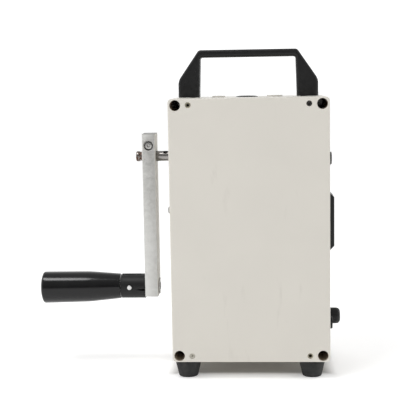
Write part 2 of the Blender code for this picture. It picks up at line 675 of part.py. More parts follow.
def make_gearbox(materials, root):
    centre = (0, MID_Y, SHAFT_Z)
    body, flange = BUSH_R
    bush = turned([(-59.8, SHAFT_R + GAP), (-59.8, body), (-56.7, body), (-56.7, flange),
                   (OUTER_PLATE_X[0] - GAP, flange), (OUTER_PLATE_X[0] - GAP, SHAFT_R + GAP)],
                  "X", centre, 16)
    add("shaft_bush_outer", bush, materials["brass"], root)
    body, flange = INNER_BUSH_R
    seat = INNER_PLATE_X[1] + GAP
    end = COLLAR_X[0] - 0.4
    bush = turned([(INNER_PLATE_X[0] - GAP, SHAFT_R + GAP), (INNER_PLATE_X[0] - GAP, body), (seat, body),
                   (seat, flange), (end, flange), (end, SHAFT_R + GAP)], "X", centre, 16)
    add("shaft_bush_inner", bush, materials["brass"], root)

    outline = fillet(rectangle((PLATE_Y[0], PLATE_Z[0]), (PLATE_Y[1], PLATE_Z[1])), 4.0)
    outer = add("gearbox_plate_outer", prism(outline, *OUTER_PLATE_X, "X"), materials["steel"], root)
    inner = add("gearbox_plate_inner", prism(outline, *INNER_PLATE_X, "X"), materials["steel"], root)
    idler_at = (0, MID_Y, IDLER_Z)
    through = (OUTER_PLATE_X[0] - HOLE_END, OUTER_PLATE_X[1] + HOLE_END)
    cut(outer, rod(*through, SHAFT_R + 2 * GAP, "X", centre),
        rod(*through, AXLE_R + GAP, "X", idler_at, 12),
        rod(*through, SIDE_SCREW_R + GAP, "X", (0, SIDE_SCREW_Y, SIDE_SCREW_Z), 12))
    through = (INNER_PLATE_X[0] - HOLE_END, INNER_PLATE_X[1] + HOLE_END)
    cut(inner, rod(*through, INNER_BUSH_R[0] + GAP, "X", centre),
        rod(*through, AXLE_R + GAP, "X", idler_at, 12),
        rod(*through, GENERATOR_NOSE_R + GAP, "X", (0, MID_Y, ROTOR_Z), 16))
    for y in PLATE_PILLAR_Y:
        for z in PLATE_PILLAR_Z:
            join(inner, rod(OUTER_PLATE_X[1] + GAP, INNER_PLATE_X[0] + 1, PLATE_PILLAR_R, "X", (0, y, z), 10))
    axle = rod(OUTER_PLATE_X[0] + GAP, INNER_PLATE_X[1] - GAP, AXLE_R, "X", idler_at, 12)
    add("idler_axle", axle, materials["steel"], root)
    nose = INNER_PLATE_X[0] + GAP
    back = INNER_PLATE_X[1] + GAP
    body = turned([(nose, ROTOR_R + GAP), (nose, GENERATOR_NOSE_R), (back, GENERATOR_NOSE_R),
                   (back, GENERATOR_R - 1), (back + 1, GENERATOR_R), (GENERATOR_IN_X - 1, GENERATOR_R),
                   (GENERATOR_IN_X, GENERATOR_R - 1), (GENERATOR_IN_X, ROTOR_R + GAP)],
                  "X", (0, MID_Y, ROTOR_Z), 16)
    add("generator", body, materials["steel"], root)


def make_gears(materials, crank, idler, rotor):
    at_shaft = (MID_Y, SHAFT_Z)
    at_idler = (MID_Y, IDLER_Z)
    at_rotor = (MID_Y, ROTOR_Z)
    drive = prism(gear_outline(DRIVE_TEETH, at_shaft), *DRIVE_X, "X")
    drive = add("drive_gear", drive, materials["nylon"], crank)
    cut(drive, rod(DRIVE_X[0] - HOLE_END, DRIVE_X[1] + HOLE_END, SHAFT_R + GAP, "X", (0, *at_shaft)))
    gear = prism(gear_outline(IDLER_TEETH, at_idler), *IDLER_X, "X")
    gear = add("idler_gear", gear, materials["nylon"], idler)
    join(gear, prism(gear_outline(PINION_TEETH, at_idler), *IDLER_PINION_X, "X"))
    cut(gear, rod(IDLER_PINION_X[0] - HOLE_END, IDLER_X[1] + HOLE_END, AXLE_R + GAP, "X",
                  (0, *at_idler), 12))
    pinion = prism(gear_outline(PINION_TEETH, at_rotor), *ROTOR_PINION_X, "X")
    pinion = add("generator_pinion", pinion, materials["brass"], rotor)
    join(pinion, rod(ROTOR_PINION_X[1] - 0.6, ROTOR_IN_X, ROTOR_R, "X", (0, *at_rotor), 12))


# ------------------------------------------------------------------- internals

def make_power(materials, root):
    floor_z = WALL + GAP
    tray = add("battery_tray", block(TRAY_X, TRAY_Y, (floor_z, TRAY_TOP_Z)), materials["black_plastic"], root)
    inside_x = (TRAY_X[0] + TRAY_WALL, TRAY_X[1] - TRAY_WALL)
    inside_y = (TRAY_Y[0] + TRAY_WALL, TRAY_Y[1] - TRAY_WALL)
    cut(tray, block(inside_x, inside_y, (floor_z + 1.7, TRAY_TOP_Z + HOLE_END)))
    first = MID_Y - 1.5 * CELL_PITCH
    pack = rod(*CELL_X, CELL_R, "X", (0, first, CELL_Z), 12)
    pack = add("battery_pack", pack, materials["battery_wrap"], root)
    for number in range(1, 4):
        web_y = first + (number - 0.5) * CELL_PITCH
        join(pack, rod(*CELL_X, CELL_R, "X", (0, first + number * CELL_PITCH, CELL_Z), 12),
             block((CELL_X[0] + 0.5, CELL_X[1] - 0.5), (web_y - 4, web_y + 4), (11, 14)))


def make_radio_parts(materials, root):
    board = add("main_board", block(BOARD_X, BOARD_Y, BOARD_Z), materials["board_green"], root)
    for x, z, height in BOARD_PARTS:
        join(board, block(x, (BOARD_Y[1] - 0.6, BOARD_Y[1] + height), z))
    rod_at = (0, FERRITE_Y, FERRITE_Z)
    add("ferrite_rod", rod(*FERRITE_X, FERRITE_R, "X", rod_at, 16), materials["ferrite"], root)
    coil = sleeve(*COIL_X, FERRITE_R + 0.4, FERRITE_R + 1.6, "X", rod_at, 16)
    add("antenna_coil", coil, materials["copper"], root)

    at = (0, 0, SPEAKER_Z)
    back = INSIDE_Y - GAP
    frame = turned([(back, SPEAKER_R), (84.9, SPEAKER_R), (84.3, 30.5), (71, 18), (68.2, 18), (68.2, 9),
                    (70.5, 9), (70.5, 16.5), (84, 29.3), (back, 29.3)], "Y", at, 20)
    add("speaker_frame", frame, materials["black_plastic"], root)
    cone = turned([(85.8, 28.5), (84.9, 28.5), (72.4, 13.5), (72.4, 0.6), (73.4, 0.6), (73.4, 11),
                   (76.0, 13.6)], "Y", at, 20)
    add("speaker_cone", cone, materials["paper"], root)
    magnet = turned([(57, 0), (57, 15.5), (67.8, 15.5), (67.8, 0)], "Y", at, 16)
    add("speaker_magnet", magnet, materials["ferrite"], root)

    capacitor = block((-12, 12), (66, 84.6), (DIAL_Z - 12, DIAL_Z + 12))
    capacitor = add("tuning_capacitor", capacitor, materials["steel"], root)
    cut(capacitor, rod(TUNING_STEM_END_Y - 1, 86, TUNING_STEM_R + GAP, "Y", (0, 0, DIAL_Z), 16))


# -------------------------------------------------------------------- controls

def make_top_buttons(materials, root):
    board = add("switch_board", block((-34, 30), (36, 54), SWITCH_BOARD_Z), materials["board_green"], root)
    under = INSIDE_H - GAP
    for name, (x, radius, height, rounding, material) in TOP_BUTTONS.items():
        top = CASE_H + height
        flange = radius + BUTTON_FLANGE
        profile = [(BUTTON_STEM_Z, 0), (BUTTON_STEM_Z, 2), (under - 1.8, 2), (under - 1.8, flange),
                   (under, flange), (under, radius), (top - rounding, radius),
                   (top - 0.3 * rounding, radius - 0.8 * rounding), (top, radius - 2.2 * rounding), (top, 0)]
        holder = empty(name + "_axis", (x, MID_Y, CASE_H), root)
        add(name, turned(profile, "Z", (x, MID_Y, 0), 16), materials[material], holder)
        switch = (SWITCH_BOARD_Z[1] - 0.7, BUTTON_STEM_Z - BUTTON_TRAVEL - GAP)
        join(board, block((x - 3, x + 3), (MID_Y - 3, MID_Y + 3), switch))


def make_side_controls(materials, root):
    at = (0, MID_Y, SIDE_BUTTON_Z)
    inside = INSIDE_W - GAP
    profile = [(inside - 4.2, 0), (inside - 4.2, 2), (inside - 1.5, 2), (inside - 1.5, 6.8), (inside, 6.8),
               (inside, SIDE_BUTTON_R), (SIDE_BUTTON_X - 0.6, SIDE_BUTTON_R),
               (SIDE_BUTTON_X, SIDE_BUTTON_R - 0.6), (SIDE_BUTTON_X, 0)]
    holder = empty("side_button_axis", (HALF_W, MID_Y, SIDE_BUTTON_Z), root)
    add("side_button", turned(profile, "X", at, 16), materials["black_plastic"], holder)

    low, high = BEZEL_Z - BEZEL_HALF, BEZEL_Z + BEZEL_HALF
    slope = BEZEL_X - BEZEL_CHAMFER
    outline = [(HALF_W + GAP, low), (slope, low), (BEZEL_X, low + BEZEL_CHAMFER),
               (BEZEL_X, high - BEZEL_CHAMFER), (slope, high), (HALF_W + GAP, high)]
    bezel = add("side_bezel", prism(outline, *BEZEL_Y, "Y"), materials["black_plastic"], root)
    cut(bezel, block((HALF_W - HOLE_END, BEZEL_X + HOLE_END), ROCKER_Y,
                     (BEZEL_Z - ROCKER_HALF, BEZEL_Z + ROCKER_HALF)))
    add("power_switch", block((38, 53.8), (37, 53), (BEZEL_Z - 12, BEZEL_Z + 12)),
        materials["black_plastic"], root)

    half = ROCKER_HALF - 1
    face = [(-ROCKER_FACE, -half), (ROCKER_FACE, -half), (ROCKER_FACE - 0.6, 0),
            (ROCKER_FACE, half), (-ROCKER_FACE, half)]
    lean = Matrix.Rotation(ROCKER_TILT, 2)
    leaning = [lean @ Vector(point) for point in face]
    outline = [(ROCKER_X + point.x, BEZEL_Z + point.y) for point in leaning]
    holder = empty("rocker_axis", (ROCKER_X, MID_Y, BEZEL_Z), root)
    rocker = prism(outline, ROCKER_Y[0] + 0.5, ROCKER_Y[1] - 0.5, "Y")
    add("power_rocker", rocker, materials["gloss_black"], holder)


def make_volume_and_jack(materials, root):
    at = (0, MID_Y, KNOB_Z)
    bore = KNOB_STEM_R + GAP
    pot = turned([(44, bore), (44, 8), (55, 8), (55, POT_BUSH_R), (POT_BUSH_X, POT_BUSH_R),
                  (POT_BUSH_X, bore)], "X", at, 16)
    add("volume_pot", pot, materials["steel"], root)
    base = HALF_W + 2 * GAP
    hollow = POT_BUSH_R + 0.4
    profile = [(45, 0), (45, KNOB_STEM_R), (POT_BUSH_X + 0.4, KNOB_STEM_R), (POT_BUSH_X + 0.4, hollow),
               (base, hollow), (base, KNOB_R), (KNOB_X - 2.6, KNOB_R), (KNOB_X - 1.3, KNOB_R - 0.8),
               (KNOB_X - 0.3, KNOB_R - 2.4), (KNOB_X, KNOB_R - 3.6), (KNOB_X, 0)]
    holder = empty("volume_axis", (HALF_W, MID_Y, KNOB_Z), root)
    add("volume_knob", turned(profile, "X", at, 16), materials["black_plastic"], holder)

    at = (0, JACK_Y, JACK_Z)
    bore = 1.8
    jack = turned([(46, 0), (46, bore), (JACK_BARREL_X, bore), (JACK_BARREL_X, JACK_BARREL_R),
                   (56.6, JACK_BARREL_R), (56.6, 5), (44, 5), (44, 0)], "X", at, 16)
    add("headphone_jack", jack, materials["black_plastic"], root)
    nut = sleeve(HALF_W + GAP, HALF_W + 2.9, JACK_BARREL_R + GAP, JACK_R, "X", at, 16)
    add("jack_nut", nut, materials["black_plastic"], root)

    head = -HALF_W - GAP
    end = OUTER_PLATE_X[1]
    screw = turned([(head - 2.8, 0), (head - 2.4, 1.6), (head - 1.4, 2.6), (head, 3), (head, SIDE_SCREW_R),
                    (end, SIDE_SCREW_R), (end, 0)], "X", (0, SIDE_SCREW_Y, SIDE_SCREW_Z), 12)
    add("side_screw", screw, materials["steel"], root)


def make_front_controls(materials, root):
    at = (0, 0, DIAL_Z)
    ring = sleeve(CASE_D + GAP, CASE_D + 1.3, 5, DIAL_R, "Y", at, 24)
    add("dial_ring", ring, materials["gloss_black"], root)
    base = CASE_D + 1.8
    profile = [(TUNING_STEM_END_Y, 0), (TUNING_STEM_END_Y, TUNING_STEM_R), (base, TUNING_STEM_R),
               (base, TUNING_R), (base + 2, TUNING_R), (base + 3, TUNING_R - 1.5),
               (TUNING_FRONT_Y - 1, TUNING_R - 2), (TUNING_FRONT_Y, TUNING_R - 3), (TUNING_FRONT_Y, 0)]
    holder = empty("tuning_axis", (0, CASE_D, DIAL_Z), root)
    add("tuning_knob", turned(profile, "Y", at, 20), materials["black_plastic"], holder)

    back = INSIDE_Y - GAP
    lens = turned([(back - 1.5, 0), (back - 1.5, 3.6), (back, 3.6), (back, LENS_R), (90.2, LENS_R),
                   (90.9, 1.6), (91.1, 0)], "Y", (LENS_X, 0, BAND_Z), 16)
    add("indicator_lens", lens, materials["lens_red"], root)
    body = block((BAND_X - 3, BAND_X + BAND_W + 3 + BAND_TRAVEL), (81, 85.2), (BAND_Z - 6, BAND_Z + 6))
    add("band_switch", body, materials["black_plastic"], root)
    holder = empty("band_axis", (BAND_X + BAND_W / 2, CASE_D, BAND_Z), root)
    slider = block((BAND_X, BAND_X + BAND_W), (85.5, CASE_D + 2.2), (BAND_Z - 2.5, BAND_Z + 2.5))
    add("band_slider", bevel(slider, 0.4, 1), materials["black_plastic"], holder)


def build():
    for obj in list(bpy.data.objects):
        bpy.data.objects.remove(obj)
    materials = {name: make_material(name) for name in MATERIALS}
    root = empty("radio", (0, 0, 0))
    crank = empty("crank_axis", (0, MID_Y, SHAFT_Z), root)
    fold = empty("fold_axis", (PIN_X, MID_Y, GRIP_Z), crank)
    pull = empty("pull_axis", (PIN_X, MID_Y, GRIP_Z), fold)
    grip = empty("grip_axis", grip_mouth(), pull)
    idler = empty("idler_axis", (0, MID_Y, IDLER_Z), root)
    rotor = empty("rotor_axis", (0, MID_Y, ROTOR_Z), root)

    make_rear_shell(materials, root)
    make_front_lid(materials, root)
    make_lid_fixings(materials, root)
    make_handle(materials, root)
    make_feet(materials, root)
    make_crank(materials, crank)
    make_hinge_block(materials, crank, fold)
    make_grip(materials, pull, grip)
    make_gearbox(materials, root)
    make_gears(materials, crank, idler, rotor)
    make_power(materials, root)
    make_radio_parts(materials, root)
    make_top_buttons(materials, root)
    make_side_controls(materials, root)
    make_volume_and_jack(materials, root)
    make_front_controls(materials, root)


build()
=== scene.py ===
import json
import math

import bmesh
import bpy
from mathutils import Matrix, Vector


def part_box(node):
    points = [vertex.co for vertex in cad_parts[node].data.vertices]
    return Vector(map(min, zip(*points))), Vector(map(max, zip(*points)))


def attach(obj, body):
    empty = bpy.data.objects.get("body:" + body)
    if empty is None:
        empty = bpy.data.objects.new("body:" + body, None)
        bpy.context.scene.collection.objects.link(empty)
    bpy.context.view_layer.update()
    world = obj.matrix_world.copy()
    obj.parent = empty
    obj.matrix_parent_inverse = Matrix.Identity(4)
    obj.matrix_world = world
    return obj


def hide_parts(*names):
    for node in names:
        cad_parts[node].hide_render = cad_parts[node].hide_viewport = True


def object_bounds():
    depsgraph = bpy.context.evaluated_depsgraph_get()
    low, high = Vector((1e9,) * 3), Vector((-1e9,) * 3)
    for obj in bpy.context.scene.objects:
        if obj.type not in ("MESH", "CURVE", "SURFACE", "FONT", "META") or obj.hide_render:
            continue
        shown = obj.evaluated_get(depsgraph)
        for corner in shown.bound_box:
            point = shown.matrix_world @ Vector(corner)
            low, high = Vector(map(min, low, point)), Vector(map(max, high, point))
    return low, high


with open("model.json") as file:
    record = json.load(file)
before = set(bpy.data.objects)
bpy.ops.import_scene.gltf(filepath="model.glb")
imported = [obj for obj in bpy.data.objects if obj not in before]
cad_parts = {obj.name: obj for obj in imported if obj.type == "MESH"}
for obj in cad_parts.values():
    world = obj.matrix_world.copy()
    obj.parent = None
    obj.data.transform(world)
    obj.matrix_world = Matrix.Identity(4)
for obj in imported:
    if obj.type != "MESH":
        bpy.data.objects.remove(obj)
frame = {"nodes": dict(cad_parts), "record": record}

# Lengths are in millimetres in the case frame: x to the right seen from behind, y from the back wall
# towards the front, z up from the underside of the case. CASE carries them into the row frame, in
# metres, which the camera, the stage and the shader coordinates use.
CAD_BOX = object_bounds()
MM = 0.001
SHELL_LOW, SHELL_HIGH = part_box("rear_shell")
CASE_ORIGIN = Vector(((SHELL_LOW.x + SHELL_HIGH.x) / 2, SHELL_LOW.y, SHELL_LOW.z))
CASE = Matrix.Translation(CASE_ORIGIN) @ Matrix.Scale(MM, 4)


def limits(node):
    """A CAD node's lowest and highest corners in the case frame, in millimetres."""
    low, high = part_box(node)
    return (low - CASE_ORIGIN) / MM, (high - CASE_ORIGIN) / MM


def span(node):
    """A CAD node's lowest and highest corners, and its middle."""
    low, high = limits(node)
    return low, high, (low + high) / 2


def middle(node):
    return span(node)[2]


HALF_W = limits("rear_shell")[1].x
CASE_H = limits("rear_shell")[1].z
SHELL_D = limits("rear_shell")[1].y
LID_Y = (limits("front_lid")[0].y, limits("front_lid")[1].y)
WALL = 3.0
CORE_X, CORE_INSET, CORE_R, CORE_D = 54.5, 5.0, 4.0, 60.0
MOUNT_X, MOUNT_INSET, MOUNT_R, MOUNT_D = 44.8, 4.8, 2.15, 8.0
CORNER_R = 3.0
EDGE_R = 1.3
PILLAR = (12.0, 10.0)   # width and height of the corner pillars, with the wall
MID_Y = middle("crank_shaft").y
SHAFT_Z = middle("crank_shaft").z
GRIP_Z = middle("hinge_block").z
PIN_X = middle("fold_pin").x
GAP = 0.3   # between pieces that move or slip past each other
SHAFT_R = 4.0
CROSS_HOLE_X = -66.5
STUD_R = 3.0
SLIT_HALF = 0.8
SLOT_HALF = 2.15
SPINDLE_R = 3.8
SPINDLE_OUT_X = -160.0
GRIP_TIP = math.radians(-0.8)
GRIP_IN_X = limits("hinge_block")[0].x - 0.5
GRIP_OUT_X = PIN_X + (limits("crank_grip")[0].x - PIN_X) / math.cos(GRIP_TIP)
DISH_D = 2.1   # depth of the hollow in the inner end of the grip
GRILLE_Z, GRILLE_R, GRILLE_PITCH = 125.0, 29.0, 7.5
SIDE_BUTTON_R = 5.1
DIAL_START, DIAL_SWEEP = 225, 270   # degrees
ROCKER_LEAN = 6                     # degrees
# painted light: strength of the floor's own glow outside the case's footprint
PAINTED_FLOOR_LIGHT = 0.3
ROOM_LIGHT = 0.16
BACKDROP_LIGHT = 1.22
CEILING_SHARE = 0.5
SPIN_START = math.radians(1.7)   # keeps the facets of turned cutters off the planes that they cut

BODY_OF = {node: body for body, nodes in frame["record"]["behaviour"]["bodies"].items() for node in nodes}
SLOT_OF = {part["node"]: part["material_slot"] for part in frame["record"]["subparts"]}


# ---- mesh helpers

def turn_to(axis):
    """Rotation that carries +Z onto the named axis, in exact ones and zeros."""
    turns = {
        "X": Matrix(((0, 0, 1, 0), (0, 1, 0, 0), (-1, 0, 0, 0), (0, 0, 0, 1))),
        "Y": Matrix(((1, 0, 0, 0), (0, 0, 1, 0), (0, -1, 0, 0), (0, 0, 0, 1))),
        "Z": Matrix.Identity(4),
    }
    return turns[axis]


def fillet(points, radius, closed=True, steps=4):
    """Round the corners of an outline. The radius is one number, or one for each point."""
    count = len(points)
    radii = [radius] * count if isinstance(radius, (int, float)) else radius
    rounded = []
    for i, point in enumerate(points):
        here = Vector(point)
        before = Vector(points[i - 1]) - here
        after = Vector(points[(i + 1) % count]) - here
        loose_end = not closed and i in (0, count - 1)
        if loose_end or radii[i] <= 0 or before.length < 1e-6 or after.length < 1e-6:
            rounded.append(tuple(here))
            continue
        half = before.angle(after) / 2
        if half > math.radians(88) or half < math.radians(2):
            rounded.append(tuple(here))
            continue
        reach = min(radii[i] / math.tan(half), 0.48 * before.length, 0.48 * after.length)
        bend = reach * math.tan(half)
        inward = (before.normalized() + after.normalized()).normalized()
        centre = here + inward * (bend / math.sin(half))
        start = here + before.normalized() * reach - centre
        end = here + after.normalized() * reach - centre
        sweep = math.atan2(start.x * end.y - start.y * end.x, start.dot(end))
        for step in range(steps + 1):
            turn = Matrix.Rotation(sweep * step / steps, 2)
            rounded.append(tuple(centre + turn @ start))
    return rounded


def turned(profile, axis, centre=(0, 0, 0), segments=64):
    """Spin (along, radius) points about an axis; points off the axis at both ends close on each other."""
    bm = bmesh.new()
    verts = [bm.verts.new((radius, 0, along)) for along, radius in profile]
    edges = [bm.edges.new(pair) for pair in zip(verts, verts[1:])]
    if profile[0][1] > 1e-6 and profile[-1][1] > 1e-6:
        edges.append(bm.edges.new((verts[-1], verts[0])))
    bmesh.ops.spin(bm, geom=verts + edges, axis=(0, 0, 1), cent=(0, 0, 0),
                   steps=segments, angle=2 * math.pi)
    bmesh.ops.remove_doubles(bm, verts=bm.verts, dist=1e-4)
    bmesh.ops.recalc_face_normals(bm, faces=bm.faces)
    bm.transform(Matrix.Translation(Vector(centre)) @ turn_to(axis) @ Matrix.Rotation(SPIN_START, 4, "Z"))
    return bm


def lathe(profile, radius, steps, axis, centre, segments):
    """Spin a profile whose corners are first rounded."""
    return turned(fillet(profile, radius, closed=False, steps=steps), axis, centre, segments)


def rod(low, high, radius, axis, centre=(0, 0, 0), segments=64, edge=0.2):
    profile = [(low, 0), (low, radius), (high, radius), (high, 0)]
    return lathe(profile, edge, 3, axis, centre, segments)


def sleeve(low, high, bore, radius, axis, centre=(0, 0, 0), segments=64, edge=0.2):
    profile = [(low, bore), (low, radius), (high, radius), (high, bore)]
    return turned(fillet(profile, edge, steps=3), axis, centre, segments)


def prism(outline, low, high, axis):
    """Extrude an outline along an axis. The outline is (y, z), (x, z) or (x, y) for X, Y or Z."""
    orders = {"X": (2, 0, 1), "Y": (0, 2, 1), "Z": (0, 1, 2)}
    order = orders[axis]

    def point(u, v, w):
        return Vector([(u, v, w)[i] for i in order])

    bm = bmesh.new()
    face = bm.faces.new([bm.verts.new(point(u, v, low)) for u, v in outline])
    grown = bmesh.ops.extrude_face_region(bm, geom=[face])["geom"]
    moved = [item for item in grown if isinstance(item, bmesh.types.BMVert)]
    bmesh.ops.translate(bm, verts=moved, vec=point(0, 0, high - low))
    bmesh.ops.recalc_face_normals(bm, faces=bm.faces)
    return bm


def block(x, y, z):
    return prism([(x[0], y[0]), (x[1], y[0]), (x[1], y[1]), (x[0], y[1])], z[0], z[1], "Z")


def bevel(bm, width, segments, wanted=None):
    edges = [edge for edge in bm.edges if wanted is None or wanted(edge)]
    bmesh.ops.bevel(bm, geom=edges, offset=width, offset_type="OFFSET",
                    segments=segments, profile=0.5, affect="EDGES")
    return bm


def at_level(axis, *levels):
    """Picks the edges that lie in a plane at one of these places along an axis."""
    index = "XYZ".index(axis)

    def wanted(edge):
        return any(all(abs(vert.co[index] - level) < 1e-3 for vert in edge.verts) for level in levels)

    return wanted


def free_rims(low_y, high_y, axis, base):
    """Picks the two rims across y, except where they meet the wall at this place along an axis."""
    index = "XYZ".index(axis)
    rims = at_level("Y", low_y, high_y)
    return lambda edge: rims(edge) and max(vert.co[index] for vert in edge.verts) > base + 0.1


def slab(outline, low, high, axis, edge=0.3, segments=3):
    """A prism whose two ends have rounded rims."""
    bm = prism(outline, low, high, axis)
    return bevel(bm, edge, segments, at_level(axis, low, high))


def arc(centre, radius, start, end, steps):
    angles = [math.radians(start + (end - start) * i / steps) for i in range(steps + 1)]
    return [(centre[0] + radius * math.cos(a), centre[1] + radius * math.sin(a)) for a in angles]


def around(centre, radius, count):
    """Places evenly round a circle."""
    return arc(centre, radius, 0, 360, count)[:-1]


def toothed(centre, radius, depth, teeth, share=1):
    """A round outline with teeth, where each tooth and each gap has as many points as share."""
    count = 2 * share * teeth
    places = zip(around(centre, radius, count), around(centre, radius - depth, count))
    return [pair[step // share % 2] for step, pair in enumerate(places)]


def rectangle(low, high):
    return [(low[0], low[1]), (high[0], low[1]), (high[0], high[1]), (low[0], high[1])]


def lipped_hole(mouth, bottom, radius, axis, centre, lip=0.35, segments=48):
    """Cutter for a round hole whose mouth is rounded over. Mouth and bottom are places along the axis."""
    way = 1 if bottom > mouth else -1
    flare = [(mouth + way * lip * (1 - math.cos(a)), radius + lip * (1 - math.sin(a)))
             for a in (math.radians(15 * step) for step in range(1, 7))]
    profile = [(mouth - way * 0.6, 0), (mouth - way * 0.6, radius + 1.15 * lip), *flare,
               (bottom, radius), (bottom, 0)]
    return turned(profile, axis, centre, segments)


# ---- object helpers

def add(name, data):
    obj = bpy.data.objects.new(name, data)
    bpy.context.scene.collection.objects.link(obj)
    return obj


def piece(name, bm, material, sharp=40):
    """Turn a bmesh into an object that stays in the case frame, in millimetres, until it is placed."""
    mesh = bpy.data.meshes.new(name)
    bm.to_mesh(mesh)
    bm.free()
    mesh.shade_smooth()
    mesh.set_sharp_from_angle(angle=math.radians(sharp))
    if material is not None:
        mesh.materials.append(material)
    return add(name, mesh)


def fine(node, bm, finish=None, sharp=40):
    """The detailed piece for a CAD node, in the finish of the node's slot unless another is named."""
    return piece(f"{node}_fine", bm, FINISHES[finish or SLOT_OF[node]], sharp)


def settle(obj, sharp=40):
    """Apply an object's modifiers to its mesh."""
    bpy.context.view_layer.update()
    depsgraph = bpy.context.evaluated_depsgraph_get()
    mesh = bpy.data.meshes.new_from_object(obj.evaluated_get(depsgraph))
    obj.modifiers.clear()
    obj.data = mesh
    mesh.shade_smooth()
    mesh.set_sharp_from_angle(angle=math.radians(sharp))
    return obj


def combine(obj, operation, tools):
    """Boolean an object with tools, each a bmesh or an object that is used up."""
    helpers = []
    for tool in tools:
        if not isinstance(tool, bpy.types.Object):
            tool = piece("tool", tool, None)
        step = obj.modifiers.new("step", "BOOLEAN")
        step.operation = operation
        step.solver = "EXACT"
        step.object = tool
        helpers.append(tool)
    settle(obj)
    for tool in helpers:
        bpy.data.objects.remove(tool)
    return obj


def cut(obj, *tools):
    return combine(obj, "DIFFERENCE", tools)


def join(obj, *tools):
    return combine(obj, "UNION", tools)


def level_shading(obj):
    """Keep large flat faces evenly shaded beside their small rounded edges."""
    weigh = obj.modifiers.new("weigh", "WEIGHTED_NORMAL")
    weigh.keep_sharp = True
    return obj


def place(obj, body):
    """Carry a finished piece from the case frame into the row frame, and say what it moves with."""
    obj.data.transform(CASE)
    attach(obj, body)
    return obj


def stands_for(obj, *nodes):
    """The piece takes the place and body of CAD nodes, which are hidden."""
    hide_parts(*nodes)
    return place(obj, BODY_OF[nodes[0]])


# ---- materials

def add_node(tree, kind, output, inputs, **settings):
    """Add a shader node, set or link its inputs, and return one of its outputs."""
    node = tree.nodes.new(kind)
    for key, value in settings.items():
        setattr(node, key, value)
    for key, value in inputs.items():
        if isinstance(value, bpy.types.NodeSocket):
            tree.links.new(value, node.inputs[key])
        else:
            node.inputs[key].default_value = value
    return node.outputs[output]


def map_range(tree, source, low, high, start, end):
    """Carry a value from low..high to start..end, held at both ends."""
    return add_node(tree, "ShaderNodeMapRange", "Result", {
        "Value": source, "From Min": low, "From Max": high, "To Min": start, "To Max": end})


class Finish:
    """A Principled material whose colour, roughness and relief come from procedural nodes."""

    def __init__(self, name, roughness, metallic=0.0, **sockets):
        self.material = bpy.data.materials.new(name)
        self.material.use_nodes = True
        self.tree = self.material.node_tree
        self.shader = self.tree.nodes["Principled BSDF"]
        self.shader.inputs["Roughness"].default_value = roughness
        self.shader.inputs["Metallic"].default_value = metallic
        for socket, value in sockets.items():
            self.shader.inputs[socket.replace("_", " ")].default_value = value
        self.position = self.node("ShaderNodeTexCoord", "Object", {})
        self.relief = None

    def node(self, kind, output, inputs, **settings):
        return add_node(self.tree, kind, output, inputs, **settings)

    def feed(self, socket, source):
        """Link a node's output to the shader."""
        self.tree.links.new(source, self.shader.inputs[socket])

    def noise(self, scale, detail=3.0, stretch=(1, 1, 1), shift=(0, 0, 0), distortion=0.0):
        """Noise with features of about 1/scale metres, squeezed by stretch along each axis."""
        at = self.node("ShaderNodeMapping", "Vector", {
            "Vector": self.position, "Scale": stretch, "Location": shift})
        return self.node("ShaderNodeTexNoise", "Fac", {
            "Vector": at, "Scale": scale, "Detail": detail, "Distortion": distortion})

    def ramp(self, source, low, high, start=0.0, end=1.0):
        return map_range(self.tree, source, low, high, start, end)

    def maths(self, operation, one, two):
        return self.node("ShaderNodeMath", "Value", {0: one, 1: two}, operation=operation)

    def times(self, one, two):
        return self.maths("MULTIPLY", one, two)

    def along(self, axis):
        """An object coordinate, in metres."""
        return self.node("ShaderNodeSeparateXYZ", axis, {"Vector": self.position})

    def apart(self, axis, middle):
        """How far from a plane across an axis, on either side of it."""
        return self.maths("ABSOLUTE", self.maths("SUBTRACT", self.along(axis), middle), 0)

    def pointiness(self, low, high):
        """From 0 on flats and hollows to 1 on raised edges."""
        return self.ramp(self.node("ShaderNodeNewGeometry", "Pointiness", {}), low, high)

    def blend(self, factor, one, two):
        """Mix two colours, each given as numbers or as another node's output."""
        one, two = ((*tint, 1) if isinstance(tint, tuple) else tint for tint in (one, two))
        inputs = {"Factor": factor, "A": one, "B": two}
        return self.node("ShaderNodeMix", "Result", inputs, data_type="RGBA")

    def colour(self, source):
        self.feed("Base Color", source)

    def roughness(self, source):
        self.feed("Roughness", source)

    def bump(self, source, strength, distance_mm):
        """Add a layer of relief over those before it."""
        inputs = {"Height": source, "Strength": strength, "Distance": distance_mm * MM}
        if self.relief is not None:
            inputs["Normal"] = self.relief
        self.relief = self.node("ShaderNodeBump", "Normal", inputs)
        self.feed("Normal", self.relief)


